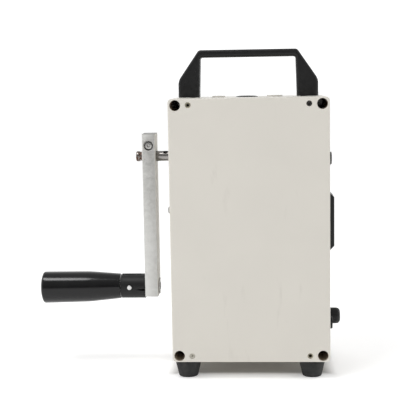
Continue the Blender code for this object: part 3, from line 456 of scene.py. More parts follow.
def case_finish():
    """Pale warm grey moulded plastic: fine grain, faint mottling, handling marks and painted shade, dark
    brown, on the walls of the core holes.
    """
    make = Finish("case_plastic", 0.42)
    cloud = make.ramp(make.noise(22, 5, distortion=0.4), 0.3, 0.7)
    colour = make.blend(cloud, (0.682, 0.654, 0.596), (0.704, 0.675, 0.615))
    marks = make.ramp(make.noise(60, 6, (1, 1, 0.25), (0.3, 0.1, 0.7), 1.2), 0.62, 0.74)
    colour = make.blend(make.times(marks, 0.35), colour, (0.57, 0.54, 0.485))
    half_h = CASE_H / 2
    aside = make.maths("SUBTRACT", make.apart("X", CASE_ORIGIN.x), CORE_X * MM)
    above = make.maths("SUBTRACT", make.apart("Z", CASE_ORIGIN.z + half_h * MM), (half_h - CORE_INSET) * MM)
    squares = make.maths("ADD", make.maths("POWER", aside, 2), make.maths("POWER", above, 2))
    bore = make.ramp(make.maths("SQRT", squares, 0), (CORE_R + 0.3) * MM, (CORE_R + 0.1) * MM)
    begun = make.ramp(make.along("Y"), CASE_ORIGIN.y + 0.1 * MM, CASE_ORIGIN.y + 1.5 * MM)
    ended = make.ramp(make.along("Y"), CASE_ORIGIN.y + (CORE_D + 6) * MM, CASE_ORIGIN.y + (CORE_D + 2) * MM)
    # painted shade: the walls of the four core holes are coloured dark brown, where shade falls inside them
    bore_shade = make.blend(make.noise(400, 4), (0.42, 0.365, 0.30), (0.56, 0.475, 0.38))
    make.colour(make.blend(make.times(bore, make.times(begun, ended)), colour, bore_shade))
    rough = make.ramp(make.noise(90, 4), 0.3, 0.7, 0.38, 0.48)
    make.roughness(make.maths("ADD", rough, make.times(marks, 0.1)))
    make.bump(make.noise(2600, 2), 0.25, 0.02)
    make.bump(make.noise(14, 2), 0.15, 0.3)
    return make.material


def pale_finish():
    make = Finish("pale_plastic", 0.32)
    cloud = make.ramp(make.noise(160, 4), 0.3, 0.7)
    make.colour(make.blend(cloud, (0.70, 0.675, 0.615), (0.74, 0.715, 0.66)))
    make.roughness(make.ramp(make.noise(300, 3), 0.3, 0.7, 0.25, 0.4))
    make.bump(make.noise(3000, 2), 0.12, 0.02)
    return make.material


def black_finish(name, level, gloss=(0.3, 0.44), grain=0.18):
    """Satin black moulded plastic with a fine grain and rubbed edges."""
    make = Finish(name, 0.36, Specular_IOR_Level=0.33)
    cloud = make.ramp(make.noise(40, 4), 0.3, 0.7)
    dark = tuple(level * c for c in (0.005, 0.005, 0.0052))
    light = tuple(level * c for c in (0.008, 0.008, 0.0085))
    base = make.blend(cloud, dark, light)
    rubbed = make.times(make.pointiness(0.53, 0.6), make.ramp(make.noise(300, 5), 0.4, 0.7))
    make.colour(make.blend(make.times(rubbed, 0.5), base, (0.05, 0.05, 0.05)))
    make.roughness(make.ramp(make.noise(120, 5), 0.3, 0.7, *gloss))
    make.bump(make.noise(2200, 3), grain, 0.02)
    return make.material


def phenolic_finish():
    """Polished black thermoset with a soft waviness, handling haze and hairline scratches."""
    make = Finish("gloss_black", 0.16, Specular_IOR_Level=0.36)
    haze = make.ramp(make.noise(55, 5, distortion=0.6), 0.35, 0.75)
    make.colour(make.blend(haze, (0.004, 0.004, 0.0044), (0.007, 0.007, 0.0076)))
    scratch = make.ramp(make.noise(260, 3, (0.08, 1, 1), (0.2, 0.5, 0.1), 0.3), 0.66, 0.72)
    rough = make.ramp(haze, 0, 1, 0.14, 0.24)
    make.roughness(make.maths("ADD", rough, make.times(scratch, 0.2)))
    make.bump(make.noise(90, 2), 0.08, 0.06)
    make.bump(scratch, 0.08, 0.02)
    return make.material


def rubber_finish():
    make = Finish("rubber", 0.75)
    dust = make.ramp(make.noise(140, 6), 0.45, 0.8)
    make.colour(make.blend(dust, (0.011, 0.011, 0.011), (0.028, 0.027, 0.025)))
    make.roughness(make.ramp(make.noise(90, 3), 0.3, 0.7, 0.62, 0.85))
    make.bump(make.noise(1800, 4), 0.4, 0.05)
    return make.material


def aluminium_finish():
    """Mill-finish bar: mottled grey oxide, marks across it, bright edges, painted shade that darkens it
    towards its side by the case, and painted shade on the dull saw-cut top end.
    """
    make = Finish("bar_aluminium", 0.5, 0.6)
    mottle = make.ramp(make.noise(230, 8, distortion=0.8), 0.32, 0.68)
    across = make.ramp(make.noise(34, 4, (2, 2, 46), (0.4, 0.2, 0.6)), 0.35, 0.65)
    base = make.blend(mottle, (0.40, 0.398, 0.385), (0.62, 0.615, 0.60))
    base = make.blend(make.times(across, 0.35), base, (0.58, 0.58, 0.565))
    pits = make.ramp(make.noise(900, 5, shift=(0.5, 0.7, 0.1)), 0.62, 0.72)
    base = make.blend(make.times(pits, 0.6), base, (0.24, 0.235, 0.225))
    base = make.blend(make.times(make.pointiness(0.52, 0.6), 0.7), base, (0.82, 0.82, 0.80))
    # painted shade: the bar is coloured darker towards its side by the case, stopping short of that side
    # face
    low, high = (CASE_ORIGIN + corner * MM for corner in limits("crank_arm"))
    inward = make.ramp(make.along("X"), low.x + 2 * MM, high.x - 1 * MM)
    short_of = make.ramp(make.along("X"), high.x - 0.1 * MM, high.x - 0.35 * MM)
    base = make.blend(make.times(make.times(inward, short_of), 0.35), base, (0.28, 0.278, 0.27))
    # painted shade on the rough top end of the bar, which faces the overhead light
    top_end_shade = make.ramp(make.along("Z"), high.z - 0.6 * MM, high.z - 0.1 * MM)
    make.colour(make.blend(make.times(top_end_shade, 0.8), base, (0.22, 0.22, 0.21)))
    make.roughness(make.ramp(mottle, 0, 1, 0.62, 0.42))
    make.bump(across, 0.25, 0.05)
    make.bump(mottle, 0.2, 0.04)
    return make.material


def drawn_steel(name, colour, roughness, grain=(1, 1, 1)):
    """Bright steel with marks drawn out along the axis whose grain factor is small."""
    make = Finish(name, roughness, 1.0)
    mottle = make.ramp(make.noise(260, 6, grain, (0.1, 0.4, 0.2)), 0.3, 0.7)
    dark = tuple(0.62 * c for c in colour)
    make.colour(make.blend(mottle, dark, colour))
    make.roughness(make.ramp(mottle, 0, 1, roughness * 1.5, roughness * 0.8))
    make.bump(make.noise(1500, 3, grain), 0.1, 0.02)
    return make


def shaft_finish():
    """Drawn steel shaft, bright where it is handled and brown with rust towards its outer end."""
    make = drawn_steel("shaft_steel", (0.33, 0.315, 0.30), 0.2, (0.15, 1, 1))
    outer = CASE_ORIGIN.x + limits("crank_arm")[0].x * MM
    end = make.ramp(make.along("X"), outer + 1.5 * MM, outer - 2.5 * MM)
    patch = make.ramp(make.noise(520, 6), 0.38, 0.6)
    rust = make.times(end, patch)
    steel = make.shader.inputs["Base Color"].links[0].from_socket
    make.colour(make.blend(rust, steel, (0.105, 0.05, 0.028)))
    make.roughness(make.ramp(rust, 0, 1, 0.2, 0.62))
    make.bump(rust, 0.3, 0.06)
    return make.material


def tinted(name, low, high, roughness, metallic=0.0, scale=200, grain=1500, depth=0.02):
    """A plain procedural finish for the pieces inside."""
    make = Finish(name, roughness, metallic)
    make.colour(make.blend(make.ramp(make.noise(scale, 5), 0.3, 0.7), low, high))
    make.roughness(make.ramp(make.noise(scale * 2, 3), 0.3, 0.7, roughness * 0.8, roughness * 1.2))
    make.bump(make.noise(grain, 3), 0.2, depth)
    return make.material


def ink_finish():
    make = Finish("dial_ink", 0.55)
    make.colour(make.blend(make.ramp(make.noise(900, 4), 0.3, 0.7), (0.62, 0.62, 0.6), (0.78, 0.78, 0.76)))
    return make.material


def lens_finish():
    make = Finish("red_lens", 0.08, IOR=1.5)
    cloud = make.ramp(make.noise(700, 3), 0.3, 0.7)
    make.colour(make.blend(cloud, (0.42, 0.012, 0.01), (0.62, 0.03, 0.02)))
    make.bump(make.noise(500, 2), 0.05, 0.05)
    return make.material


TINTS = {
    "brass": ((0.62, 0.43, 0.16), (0.75, 0.55, 0.24), 0.3, 1.0),
    "nylon": ((0.70, 0.68, 0.60), (0.78, 0.76, 0.69), 0.5),
    "circuit_board": ((0.012, 0.11, 0.045), (0.02, 0.15, 0.065), 0.4),
    "copper_wire": ((0.55, 0.20, 0.09), (0.70, 0.30, 0.14), 0.3, 1.0),
    "ferrite": ((0.05, 0.05, 0.055), (0.08, 0.08, 0.085), 0.55),
    "battery_wrap": ((0.05, 0.13, 0.30), (0.08, 0.18, 0.38), 0.3),
    "insert_brass": ((0.30, 0.28, 0.21), (0.42, 0.39, 0.30), 0.45, 0.6),
    # painted shade and painted light: a darker and a paler copy of the insert metal
    "insert_painted_shade": ((0.03, 0.028, 0.024), (0.06, 0.055, 0.05), 0.5),
    "insert_painted_light": ((0.42, 0.40, 0.34), (0.55, 0.52, 0.45), 0.5),
}
FINISHES = {
    "case_plastic": case_finish(),
    "pale_plastic": pale_finish(),
    "black_plastic": black_finish("black_plastic", 0.9),
    "block_black": black_finish("block_black", 0.9, (0.42, 0.56), 0.12),
    "gloss_black": phenolic_finish(),
    "rubber": rubber_finish(),
    "bar_aluminium": aluminium_finish(),
    "steel": drawn_steel("steel", (0.55, 0.54, 0.52), 0.28).material,
    "pin": drawn_steel("pin_steel", (0.95, 0.95, 0.94), 0.34).material,
    "ring": drawn_steel("ring_steel", (0.62, 0.61, 0.59), 0.2).material,
    "screw": drawn_steel("screw_steel", (0.58, 0.57, 0.55), 0.25).material,
    "shaft": shaft_finish(),
    "paper_cone": tinted("paper_cone", (0.035, 0.033, 0.03), (0.06, 0.057, 0.052), 0.9,
                         grain=2500, depth=0.1),
    "red_lens": lens_finish(),
    "ink": ink_finish(),
    **{name: tinted(name, *values) for name, values in TINTS.items()},
}


def dress_cad_nodes():
    """Give every CAD node that stays its procedural finish."""
    for node, obj in frame["nodes"].items():
        obj.data.materials.clear()
        obj.data.materials.append(FINISHES[SLOT_OF[node]])


# ---- case

def cavity_outline():
    """Inside of the case with its four pillars left standing, as (x, z)."""
    inner_x = HALF_W - WALL
    step_x = HALF_W - PILLAR[0]
    points = []
    for sx, sz in ((1, 1), (-1, 1), (-1, -1), (1, -1)):
        wall_z = CASE_H / 2 + sz * (CASE_H / 2 - WALL)
        step_z = CASE_H / 2 + sz * (CASE_H / 2 - PILLAR[1])
        corner = [(sx * inner_x, step_z), (sx * step_x, step_z), (sx * step_x, wall_z)]
        points += corner if sx * sz > 0 else corner[::-1]
    return points


def case_outline():
    return fillet(rectangle((-HALF_W, 0), (HALF_W, CASE_H)), CORNER_R, steps=10)


def make_rear_shell():
    body = bevel(prism(case_outline(), 0, SHELL_D, "Y"), EDGE_R, 6, at_level("Y", 0))
    shell = fine("rear_shell", body)
    cut(shell, prism(cavity_outline(), WALL, SHELL_D + 5, "Y"))
    pad_x = HALF_W - PILLAR[0]
    pads = []
    holes = []
    for sx in (-1, 1):
        for z, inward in ((0, 1), (CASE_H, -1)):
            core_at = (sx * CORE_X, 0, z + inward * CORE_INSET)
            mount_at = (sx * MOUNT_X, 0, z + inward * MOUNT_INSET)
            pads.append(block(sorted((sx * (pad_x + 1), sx * (pad_x - 9))), (1, MOUNT_D + 2),
                              sorted((z + inward, z + inward * (PILLAR[1] - 0.5)))))
            holes.append(lipped_hole(0, CORE_D, CORE_R, "Y", core_at, 0.15))
            holes.append(rod(CORE_D - 1, SHELL_D + 1, 1.95, "Y", core_at, 24, 0))
            holes.append(lipped_hole(0, MOUNT_D, MOUNT_R, "Y", mount_at, 0.25, 32))
    join(shell, *pads)
    cut(shell, *holes)
    cut(shell, cut(piece("tool", rim_prism(1.6, SHELL_D - 1.8, SHELL_D + 1), None),
                   rim_prism(2.9, SHELL_D - 2.5, SHELL_D + 2)))
    cut(shell, *case_openings())
    stands_for(level_shading(shell), "rear_shell")


def rim_prism(inset, low, high):
    """A block as wide and high as the case less an inset, for the gasket groove."""
    outline = rectangle((-HALF_W + inset, inset), (HALF_W - inset, CASE_H - inset))
    return prism(fillet(outline, 1.0), low, high, "Y")


def make_mount_inserts():
    """Threaded metal insert in each of the small holes in the back wall; two take a darker and a paler copy
    of the metal, painted shade and painted light.
    """
    # one insert finish, and shaded and lit copies of it: painted shade and painted light
    finishes = ("insert_brass", "insert_painted_shade", "insert_painted_light", "insert_brass")
    places = [(x, z) for z in (CASE_H - MOUNT_INSET, MOUNT_INSET) for x in (-MOUNT_X, MOUNT_X)]
    mouth, floor, outer = 0.5, MOUNT_D - GAP, MOUNT_R - 0.05
    for number, ((x, z), finish) in enumerate(zip(places, finishes), 1):
        bore = 0.5 if finish == "insert_painted_light" else 1.25
        profile = [(mouth, bore + 0.3), (mouth, outer), (floor, outer), (floor, bore), (mouth + 0.3, bore)]
        insert = turned(profile, "Y", (x, 0, z), 40)
        place(piece(f"mount_insert_{number}", insert, FINISHES[finish]), "case")


def case_openings():
    """Cutters for everything that passes through the walls of the rear shell."""
    inner = HALF_W - WALL
    tools = []
    for name in ("button_left", "button_middle", "button_right"):
        at = middle(name)
        radius = cap_radius(name) + GAP
        tools.append(lipped_hole(CASE_H, CASE_H - WALL - 1, radius, "Z", (at.x, MID_Y, 0), 0.3))
    for name in ("handle_screw_1", "handle_screw_2"):
        at = middle(name)
        tools.append(rod(CASE_H - WALL - 1, CASE_H + 1, 2.8, "Z", (at.x, at.y, 0), 32, 0))
    for number in range(1, 5):
        at = middle(f"foot_{number}")
        tools.append(rod(-1, PILLAR[1] + 1, 1.9, "Z", (at.x, at.y, 0), 24, 0))
    tools.append(lipped_hole(-HALF_W, -inner + 1, 7 + GAP, "X", (0, MID_Y, SHAFT_Z), 0.3, 64))
    screw = middle("side_screw")
    tools.append(rod(-HALF_W - 1, -inner + 1, 1.8, "X", (0, screw.y, screw.z), 24, 0))
    button = middle("side_button")
    tools.append(lipped_hole(HALF_W, inner - 1, SIDE_BUTTON_R + GAP, "X", (0, button.y, button.z), 0.3))
    for name, radius in (("volume_knob", 3.5), ("headphone_jack", 3.3)):
        at = middle(name)
        tools.append(rod(inner - 1, HALF_W + 1, radius, "X", (0, at.y, at.z), 32, 0))
    tools.append(prism(rocker_window(), inner - 1, HALF_W + 1, "X"))
    return tools


def cap_radius(name):
    """Radius of the cap that shows above the case; the flange under the wall is 1.4 mm wider."""
    low, high = limits(name)
    return (high.x - low.x) / 2 - 1.4


def rocker_window():
    """Opening round the rocker, as (y, z)."""
    z = middle("side_bezel").z
    half_y, half_z = 9.0, 13.4
    return fillet(rectangle((MID_Y - half_y, z - half_z), (MID_Y + half_y, z + half_z)), 0.6)


def grille_slots(low_y, high_y):
    """Seven slots with round ends that fill a circle."""
    slots = []
    for row in range(-3, 4):
        z = GRILLE_Z + row * GRILLE_PITCH
        half = math.sqrt(GRILLE_R ** 2 - (row * GRILLE_PITCH) ** 2)
        outline = fillet(rectangle((-half, z - 1.6), (half, z + 1.6)), 1.55, steps=8)
        slots.append(prism(outline, low_y, high_y, "Y"))
    return slots


def make_front_lid():
    low, high = LID_Y
    body = bevel(prism(case_outline(), low, high, "Y"), EDGE_R, 6, at_level("Y", high))
    lid = fine("front_lid", body)
    cut(lid, prism(cavity_outline(), low - 1, high - WALL, "Y"))
    tools = [rod(low - 1, high - 2.5, 2.05, "Y", (sx * CORE_X, 0, z), 24, 0)
             for sx in (-1, 1) for z in (CORE_INSET, CASE_H - CORE_INSET)]
    tools += grille_slots(high - WALL - 1, high + 1)
    dial = middle("dial_ring")
    lens = middle("indicator_lens")
    slider = limits("band_slider")
    tools.append(rod(high - WALL - 1, high + 1, 3.8, "Y", (dial.x, 0, dial.z), 32, 0))
    tools.append(lipped_hole(high, high - WALL - 1, 2.8, "Y", (lens.x, 0, lens.z), 0.25, 40))
    slot = rectangle((slider[0].x - 1, slider[0].z - 0.5), (slider[1].x + 9, slider[1].z + 0.5))
    tools.append(prism(fillet(slot, 0.8), high - WALL - 1, high + 1, "Y"))
    cut(lid, *tools)
    ring = sleeve(high - 0.5, high + 1, GRILLE_R + 3.2, GRILLE_R + 4.2, "Y", (0, 0, GRILLE_Z), 128, 0)
    rim = sleeve(high - 0.5, high + 1, 30.2, 31.0, "Y", (dial.x, 0, dial.z), 128, 0)
    cut(lid, ring, rim)
    stands_for(level_shading(lid), "front_lid")


def make_handle():
    low, high, at = span("carry_handle")
    half = (high.x - low.x) / 2
    inner, inner_top, top_half = 37.6, 36.7, 38.0
    shoulder, under = 213.2, 230.7
    right = [(top_half, high.z), (half, shoulder), (half, low.z), (inner, low.z), (inner_top, under)]
    radii = [3.2, 10.5, 0, 0, 1.6]
    points = right + [(-x, z) for x, z in reversed(right)]
    outline = [(at.x + x, z) for x, z in fillet(points, radii + radii[::-1], steps=9)]
    body = prism(outline, low.y, high.y, "Y")
    bevel(body, 2.3, 6, free_rims(low.y, high.y, "Z", low.z))
    handle = fine("carry_handle", body)
    screws = [middle("handle_screw_1"), middle("handle_screw_2")]
    cut(handle, *(rod(low.z - 1, low.z + 14, 2.8, "Z", (screw.x, screw.y, 0), 32, 0) for screw in screws))
    stands_for(level_shading(handle), "carry_handle")


def make_feet():
    for number in range(1, 5):
        low, high, at = span(f"foot_{number}")
        top, bottom = (high.x - low.x) / 2, 7.3
        profile = [(low.z, 0), (low.z, bottom), (-1.2, top - 0.15), (-GAP, top - 0.05), (-GAP, 1.6),
                   (high.z, 1.6), (high.z, 0)]
        radii = [0, 1.1, 0.4, 0.3, 0.2, 0.2, 0]
        foot = lathe(profile, radii, 6, "Z", (at.x, at.y, 0), 72)
        stands_for(fine(f"foot_{number}", foot), f"foot_{number}")


# ---- crank

def make_shaft():
    low, high = limits("crank_shaft")
    end_r, groove_r = SHAFT_R - 0.5, SHAFT_R - 0.6
    groove = low.x + 3
    profile = [(low.x, 0), (low.x, end_r), (low.x + 0.5, SHAFT_R), (groove, SHAFT_R), (groove, groove_r),
               (groove + 1.1, groove_r), (groove + 1.1, SHAFT_R), (high.x - 0.5, SHAFT_R), (high.x, end_r),
               (high.x, 0)]
    body = lathe(profile, 0.08, 2, "X", (0, MID_Y, SHAFT_Z), 96)
    shaft = fine("crank_shaft", body, "shaft")
    drill = lipped_hole(SHAFT_R, -SHAFT_R - 1.5, 1.7, "Z", (0, 0, 0), 0.35, 40)
    drill.transform(Matrix.Translation((CROSS_HOLE_X, MID_Y, SHAFT_Z))
                    @ Matrix.Rotation(math.radians(35), 4, "X"))
    cut(shaft, drill)
    stands_for(shaft, "crank_shaft")


def make_arm():
    low, high, at = span("crank_arm")
    body = bevel(block((low.x, high.x), (low.y, high.y), (low.z, high.z)), 0.45, 3)
    arm = fine("crank_arm", body)
    clamp_z = middle("clamp_screw").z
    seat = low.y + 4.5
    tools = [
        lipped_hole(low.x, high.x + 1, SHAFT_R + GAP, "X", (0, MID_Y, SHAFT_Z), 0.3, 64),
        block((low.x - 1, high.x + 1), (MID_Y - SLIT_HALF, MID_Y + SLIT_HALF), (SHAFT_Z, high.z + 1)),
        lipped_hole(low.y, seat, 3.7, "Y", (at.x, 0, clamp_z), 0.6, 56),
        rod(seat - 1, high.y + 1, 1.8, "Y", (at.x, 0, clamp_z), 32, 0),
        rod(low.x - 1, high.x + 1, STUD_R + GAP, "X", (0, MID_Y, GRIP_Z), 40, 0),
    ]
    cut(arm, *tools)
    stands_for(level_shading(arm), "crank_arm")


def make_clamp_screw():
    """Small socket-head cap screw with a knurled head."""
    low, high, at = span("clamp_screw")
    under = low.y + 3.0
    rim = toothed((at.x, at.z), (high.x - low.x) / 2, 0.12, 24)
    head = bevel(prism(rim, low.y, under, "Y"), 0.3, 3, at_level("Y", low.y))
    screw = fine("clamp_screw", head, "screw", 50)
    join(screw, rod(under - 0.5, high.y, 1.5, "Y", (at.x, 0, at.z), 32, 0.3))
    socket = prism(around((at.x, at.z), 1.25, 6), low.y - 1, low.y + 1.8, "Y")
    chamfer = turned([(low.y - 1, 0), (low.y - 1, 2.3), (low.y + 0.3, 1.1), (low.y + 0.3, 0)], "Y",
                     (at.x, 0, at.z), 40)
    cut(screw, socket, chamfer)
    stands_for(screw, "clamp_screw")


def make_hinge_block():
    """Round black block with a slot for the spindle, a pin across it and a stud through the arm."""
    low, high = limits("hinge_block")
    radius = GRIP_Z - low.z
    front = MID_Y - radius
    face = limits("crank_arm")[0].x - GAP
    profile = [(low.x, 0), (low.x, radius), (face, radius), (face, STUD_R), (high.x, STUD_R), (high.x, 0)]
    body = lathe(profile, [0, 0.6, 0.4, 0.2, 0.1, 0], 4, "X", (0, MID_Y, GRIP_Z), 112)
    fork = fine("hinge_block", body, "block_black")
    slot_end = limits("grip_spindle")[1].x + GAP
    slot = fillet(rectangle((low.x - 1, GRIP_Z - 5.5), (slot_end, GRIP_Z + 12)), [0, 1.0, 0, 0], steps=5)
    notch = [(face - 7.7, GRIP_Z - 1.6), (face + 1, GRIP_Z - 2.9), (face + 1, GRIP_Z - 0.6)]
    pin_at = (PIN_X, 0, GRIP_Z)
    cut(fork,
        prism(slot, MID_Y - SLOT_HALF, MID_Y + SLOT_HALF, "Y"),
        rod(front - 1, MID_Y + radius + 1, 2.1, "Y", pin_at, 48, 0),
        lipped_hole(front, MID_Y, 2.1, "Y", pin_at, 0.25, 48),
        prism(notch, front - 1, front + 5, "Y"))
    stands_for(level_shading(fork), "hinge_block")


def make_fold_pin():
    low, high = limits("fold_pin")
    radius = 1.8
    end = [(0.3, 0), (0.05, 0.35), (0, 0.5), (0, radius - 0.15), (0.15, radius)]
    profile = [(low.y + y, r) for y, r in end] + [(high.y - y, r) for y, r in reversed(end)]
    pin = lathe(profile, 0.08, 2, "Y", (PIN_X, 0, GRIP_Z), 48)
    stands_for(fine("fold_pin", pin, "pin"), "fold_pin")


def tip(bm):
    """Lean something drawn level about the fold pin, as the grip leans."""
    pin = Vector((PIN_X, MID_Y, GRIP_Z))
    bm.transform(Matrix.Translation(pin) @ Matrix.Rotation(GRIP_TIP, 4, "Y") @ Matrix.Translation(-pin))
    return bm


def make_spindle():
    """Steel rod inside the grip, with a flat blade that slides and turns on the pin."""
    rod_end = GRIP_IN_X - DISH_D - GAP
    shank = tip(rod(SPINDLE_OUT_X, rod_end, SPINDLE_R, "X", (0, MID_Y, GRIP_Z), 64, 0.3))
    spindle = fine("grip_spindle", shank)
    half, hole = 3.1, 2.1
    tail = limits("grip_spindle")[1].x - half
    outline = arc((tail, GRIP_Z), half, -90, 90, 24)
    outline += [(rod_end - 2, GRIP_Z + half), (rod_end - 2, GRIP_Z - half)]
    blade = SLOT_HALF - GAP
    join(spindle, tip(prism(outline, MID_Y - blade, MID_Y + blade, "Y")))
    slot = arc((tail, GRIP_Z), hole, -90, 90, 16) + arc((PIN_X, GRIP_Z), hole, 90, 270, 16)
    cut(spindle, tip(prism(slot, MID_Y - 4, MID_Y + 4, "Y")))
    stands_for(spindle, "grip_spindle")


def make_retaining_ring():
    """Thin push-on ring with a toothed rim that holds the stud in the arm."""
    low, high, at = span("retaining_ring")
    rim = toothed((at.y, at.z), (high.z - low.z) / 2, 0.8, 16, 2)
    ring = fine("retaining_ring", slab(rim, low.x, high.x, "X", 0.1, 2), "ring")
    slits = []
    for step in range(5):
        slit = block((low.x - 1, high.x + 1), (-0.25, 0.25), (0, STUD_R + 1.6))
        turn = Matrix.Rotation(math.tau * step / 5, 4, "X")
        slit.transform(Matrix.Translation((0, at.y, at.z)) @ turn)
        slits.append(slit)
    cut(ring, rod(low.x - 1, high.x + 1, STUD_R + GAP, "X", (0, at.y, at.z), 48, 0), *slits)
    stands_for(ring, "retaining_ring")


def flowing(points, steps=6):
    """A smooth curve through the points."""
    def between(a, b, c, d, t):
        return 0.5 * (2 * b + (c - a) * t + (2 * a - 5 * b + 4 * c - d) * t ** 2
                      + (3 * b - a - 3 * c + d) * t ** 3)

    ends = [points[0], *points, points[-1]]
    curve = [tuple(between(*values, step / steps) for values in zip(*four))
             for four in zip(ends, ends[1:], ends[2:], ends[3:]) for step in range(steps)]
    return [*curve, points[-1]]


def make_grip():
    """Black grip: a neck that swells in a shallow curve to the barrel, and a shallow domed outer end."""
    floor = GRIP_IN_X - DISH_D
    bore = SPINDLE_R + GAP
    bore_end = SPINDLE_OUT_X - 1.5
    inside = [(bore_end, 0), (bore_end, bore), (floor, bore), (floor, 6.5), (GRIP_IN_X, 9.3),
              (GRIP_IN_X, 9.5), (GRIP_IN_X - 0.15, 9.8)]
    swell = flowing([(GRIP_IN_X - 0.5, 9.95), (-111.6, 10.6), (-119.6, 11.32), (-128.0, 12.05),
                     (-136.5, 12.3), (-150.0, 12.48), (-160.0, 12.6)])
    barrel, dome_r, corner = 12.65, 30.0, 1.7
    dome_x = GRIP_OUT_X + dome_r
    dome = [(dome_x - dome_r * math.cos(a), dome_r * math.sin(a))
            for a in (math.radians(20 - 2 * step) for step in range(10))]
    rim_x = dome_x - math.sqrt(dome_r ** 2 - barrel ** 2)
    end = fillet([(-162.0, barrel - 0.03), (rim_x, barrel), *dome], [0, corner] + [0] * len(dome), False, 6)
    profile = [*inside, *swell, *end, (GRIP_OUT_X, 0)]
    grip = tip(turned(profile, "X", (0, MID_Y, GRIP_Z), 112))
    stands_for(fine("crank_grip", grip), "crank_grip")


# ---- controls

def make_top_buttons():
    """Two flat pale push buttons, and a dark domed one between them."""
    for name in ("button_left", "button_middle", "button_right"):
        low, high, at = span(name)
        radius = cap_radius(name)
        inner = CASE_H - WALL - GAP
        stem = [(low.z, 0), (low.z, 2), (inner - 1.8, 2), (inner - 1.8, radius + 1.4),
                (inner, radius + 1.4), (inner, radius)]
        if name == "button_middle":
            base = CASE_H + 0.2
            dome = [(base + (high.z - base) * math.sin(a), radius * math.cos(a) ** 0.7)
                    for a in (math.radians(9 * step) for step in range(1, 10))]
            top = [(base, radius), *dome, (high.z, 0)]
        else:
            hollow = high.z - 0.25
            flat = [(high.z, radius), (high.z, radius - 1.1), (hollow, radius - 1.5), (hollow, 0)]
            top = fillet([stem[-1], *flat], 0.3, closed=False, steps=4)[1:]
        profile = fillet(stem, 0.2, closed=False, steps=2) + top
        stands_for(fine(name, turned(profile, "Z", (at.x, MID_Y, 0), 80)), name)


def make_side_button():
    low, high, at = span("side_button")
    inner = HALF_W - WALL - GAP
    dish_r, flange_r, dish = SIDE_BUTTON_R - 1.5, SIDE_BUTTON_R + 1.7, high.x - 0.3
    profile = [(low.x, 0), (low.x, 2), (inner - 1.5, 2), (inner - 1.5, flange_r), (inner, flange_r),
               (inner, SIDE_BUTTON_R), (high.x, SIDE_BUTTON_R), (high.x, dish_r), (dish, dish_r - 0.4),
               (dish, 0)]
    radii = [0, 0.2, 0.2, 0.2, 0.2, 0.1, 0.7, 0.2, 0.2, 0]
    cap = lathe(profile, radii, 4, "X", (0, at.y, at.z), 64)
    stands_for(fine("side_button", cap), "side_button")


def make_side_bezel():
    low, high = limits("side_bezel")
    chamfer = 3.0
    outline = [(low.x, low.z), (high.x - chamfer, low.z), (high.x, low.z + chamfer),
               (high.x, high.z - chamfer), (high.x - chamfer, high.z), (low.x, high.z)]
    outline = fillet(outline, [0, 0.8, 0.8, 0.8, 0.8, 0], steps=4)
    body = prism(outline, low.y, high.y, "Y")
    bevel(body, 1.0, 4, free_rims(low.y, high.y, "X", low.x))
    bezel = fine("side_bezel", body)
    cut(bezel, slab(rocker_window(), low.x - 1, high.x + 1, "X", 0.01, 1))
    stands_for(level_shading(bezel), "side_bezel")


def make_rocker():
    """Leaning rocker with a hollowed face, marked with a ring at the top and a bar at the bottom."""
    centre = middle("side_bezel")
    half, reach, mark_z, bar_d, ring_d = 12.4, 3.2, 8.2, 1.0, 1.2
    hollow = [(reach - 0.6 * math.cos(math.pi * step / 24), half * step / 12) for step in range(-11, 12)]
    face = [(-reach, -half), (reach, -half), *hollow, (reach, half), (-reach, half)]
    lean = Matrix.Rotation(math.radians(ROCKER_LEAN), 2)
    outline = [(HALF_W + p.x, centre.z + p.y) for p in (lean @ Vector(q) for q in face)]
    rocker = fine("power_rocker", slab(outline, MID_Y - 8.5, MID_Y + 8.5, "Y", 0.5, 3))
    upper, lower = (lean @ Vector((reach - 0.1, side * mark_z)) for side in (1, -1))
    bar_z = centre.z + lower.y
    cut(rocker,
        block((HALF_W + lower.x - bar_d, HALF_W + 6), (MID_Y - 0.3, MID_Y + 0.3),
              (bar_z - 1.9, bar_z + 1.9)),
        sleeve(HALF_W + upper.x - ring_d, HALF_W + 6, 1.3, 1.9, "X",
               (0, MID_Y, centre.z + upper.y), 40, 0))
    stands_for(level_shading(rocker), "power_rocker")


def make_volume_knob():
    low, high, at = span("volume_knob")
    radius = (high.z - low.z) / 2
    base = HALF_W + 2 * GAP
    hub = base + 1.6
    profile = [(low.x, 0), (low.x, 2), (hub, 2), (hub, 3.6), (base, 3.6), (base, radius),
               (high.x, radius), (high.x, 0)]
    radii = [0, 0.2, 0, 0.2, 0.2, 0.3, 3.2, 0]
    body = lathe(profile, radii, 9, "X", (0, at.y, at.z), 96)
    grooves = [rod(base + 1.2, high.x - 3.0, 0.5, "X", (0, y, z), 10, 0)
               for y, z in around((at.y, at.z), radius + 0.28, 24)]
    pointer = block((high.x - 0.5, high.x + 1), (at.y - 0.4, at.y + 0.4), (at.z + 1.2, at.z + radius + 1))
    stands_for(cut(fine("volume_knob", body), *grooves, pointer), "volume_knob")


def make_jack():
    """Headphone socket in the wall, and its knurled nut."""
    low, high, at = span("headphone_jack")
    bore, bore_end, barrel, shoulder = 1.8, HALF_W - 14, 3, HALF_W - WALL - 0.4
    profile = [(bore_end, 0), (bore_end, bore), (high.x, bore), (high.x, barrel), (shoulder, barrel),
               (shoulder, 5), (low.x, 5), (low.x, 0)]
    radii = [0, 0, 0.3, 0.2, 0, 0.2, 0.2, 0]
    jack = lathe(profile, radii, 3, "X", (0, at.y, at.z), 48)
    stands_for(fine("headphone_jack", jack), "headphone_jack")
    low, high = limits("jack_nut")
    nut = fine("jack_nut", slab(toothed((at.y, at.z), 4.8, 0.18, 32), low.x, high.x, "X", 0.3, 2))
    cut(nut, lipped_hole(high.x, low.x - 1, barrel + GAP, "X", (0, at.y, at.z), 0.3, 48))
    stands_for(nut, "jack_nut")


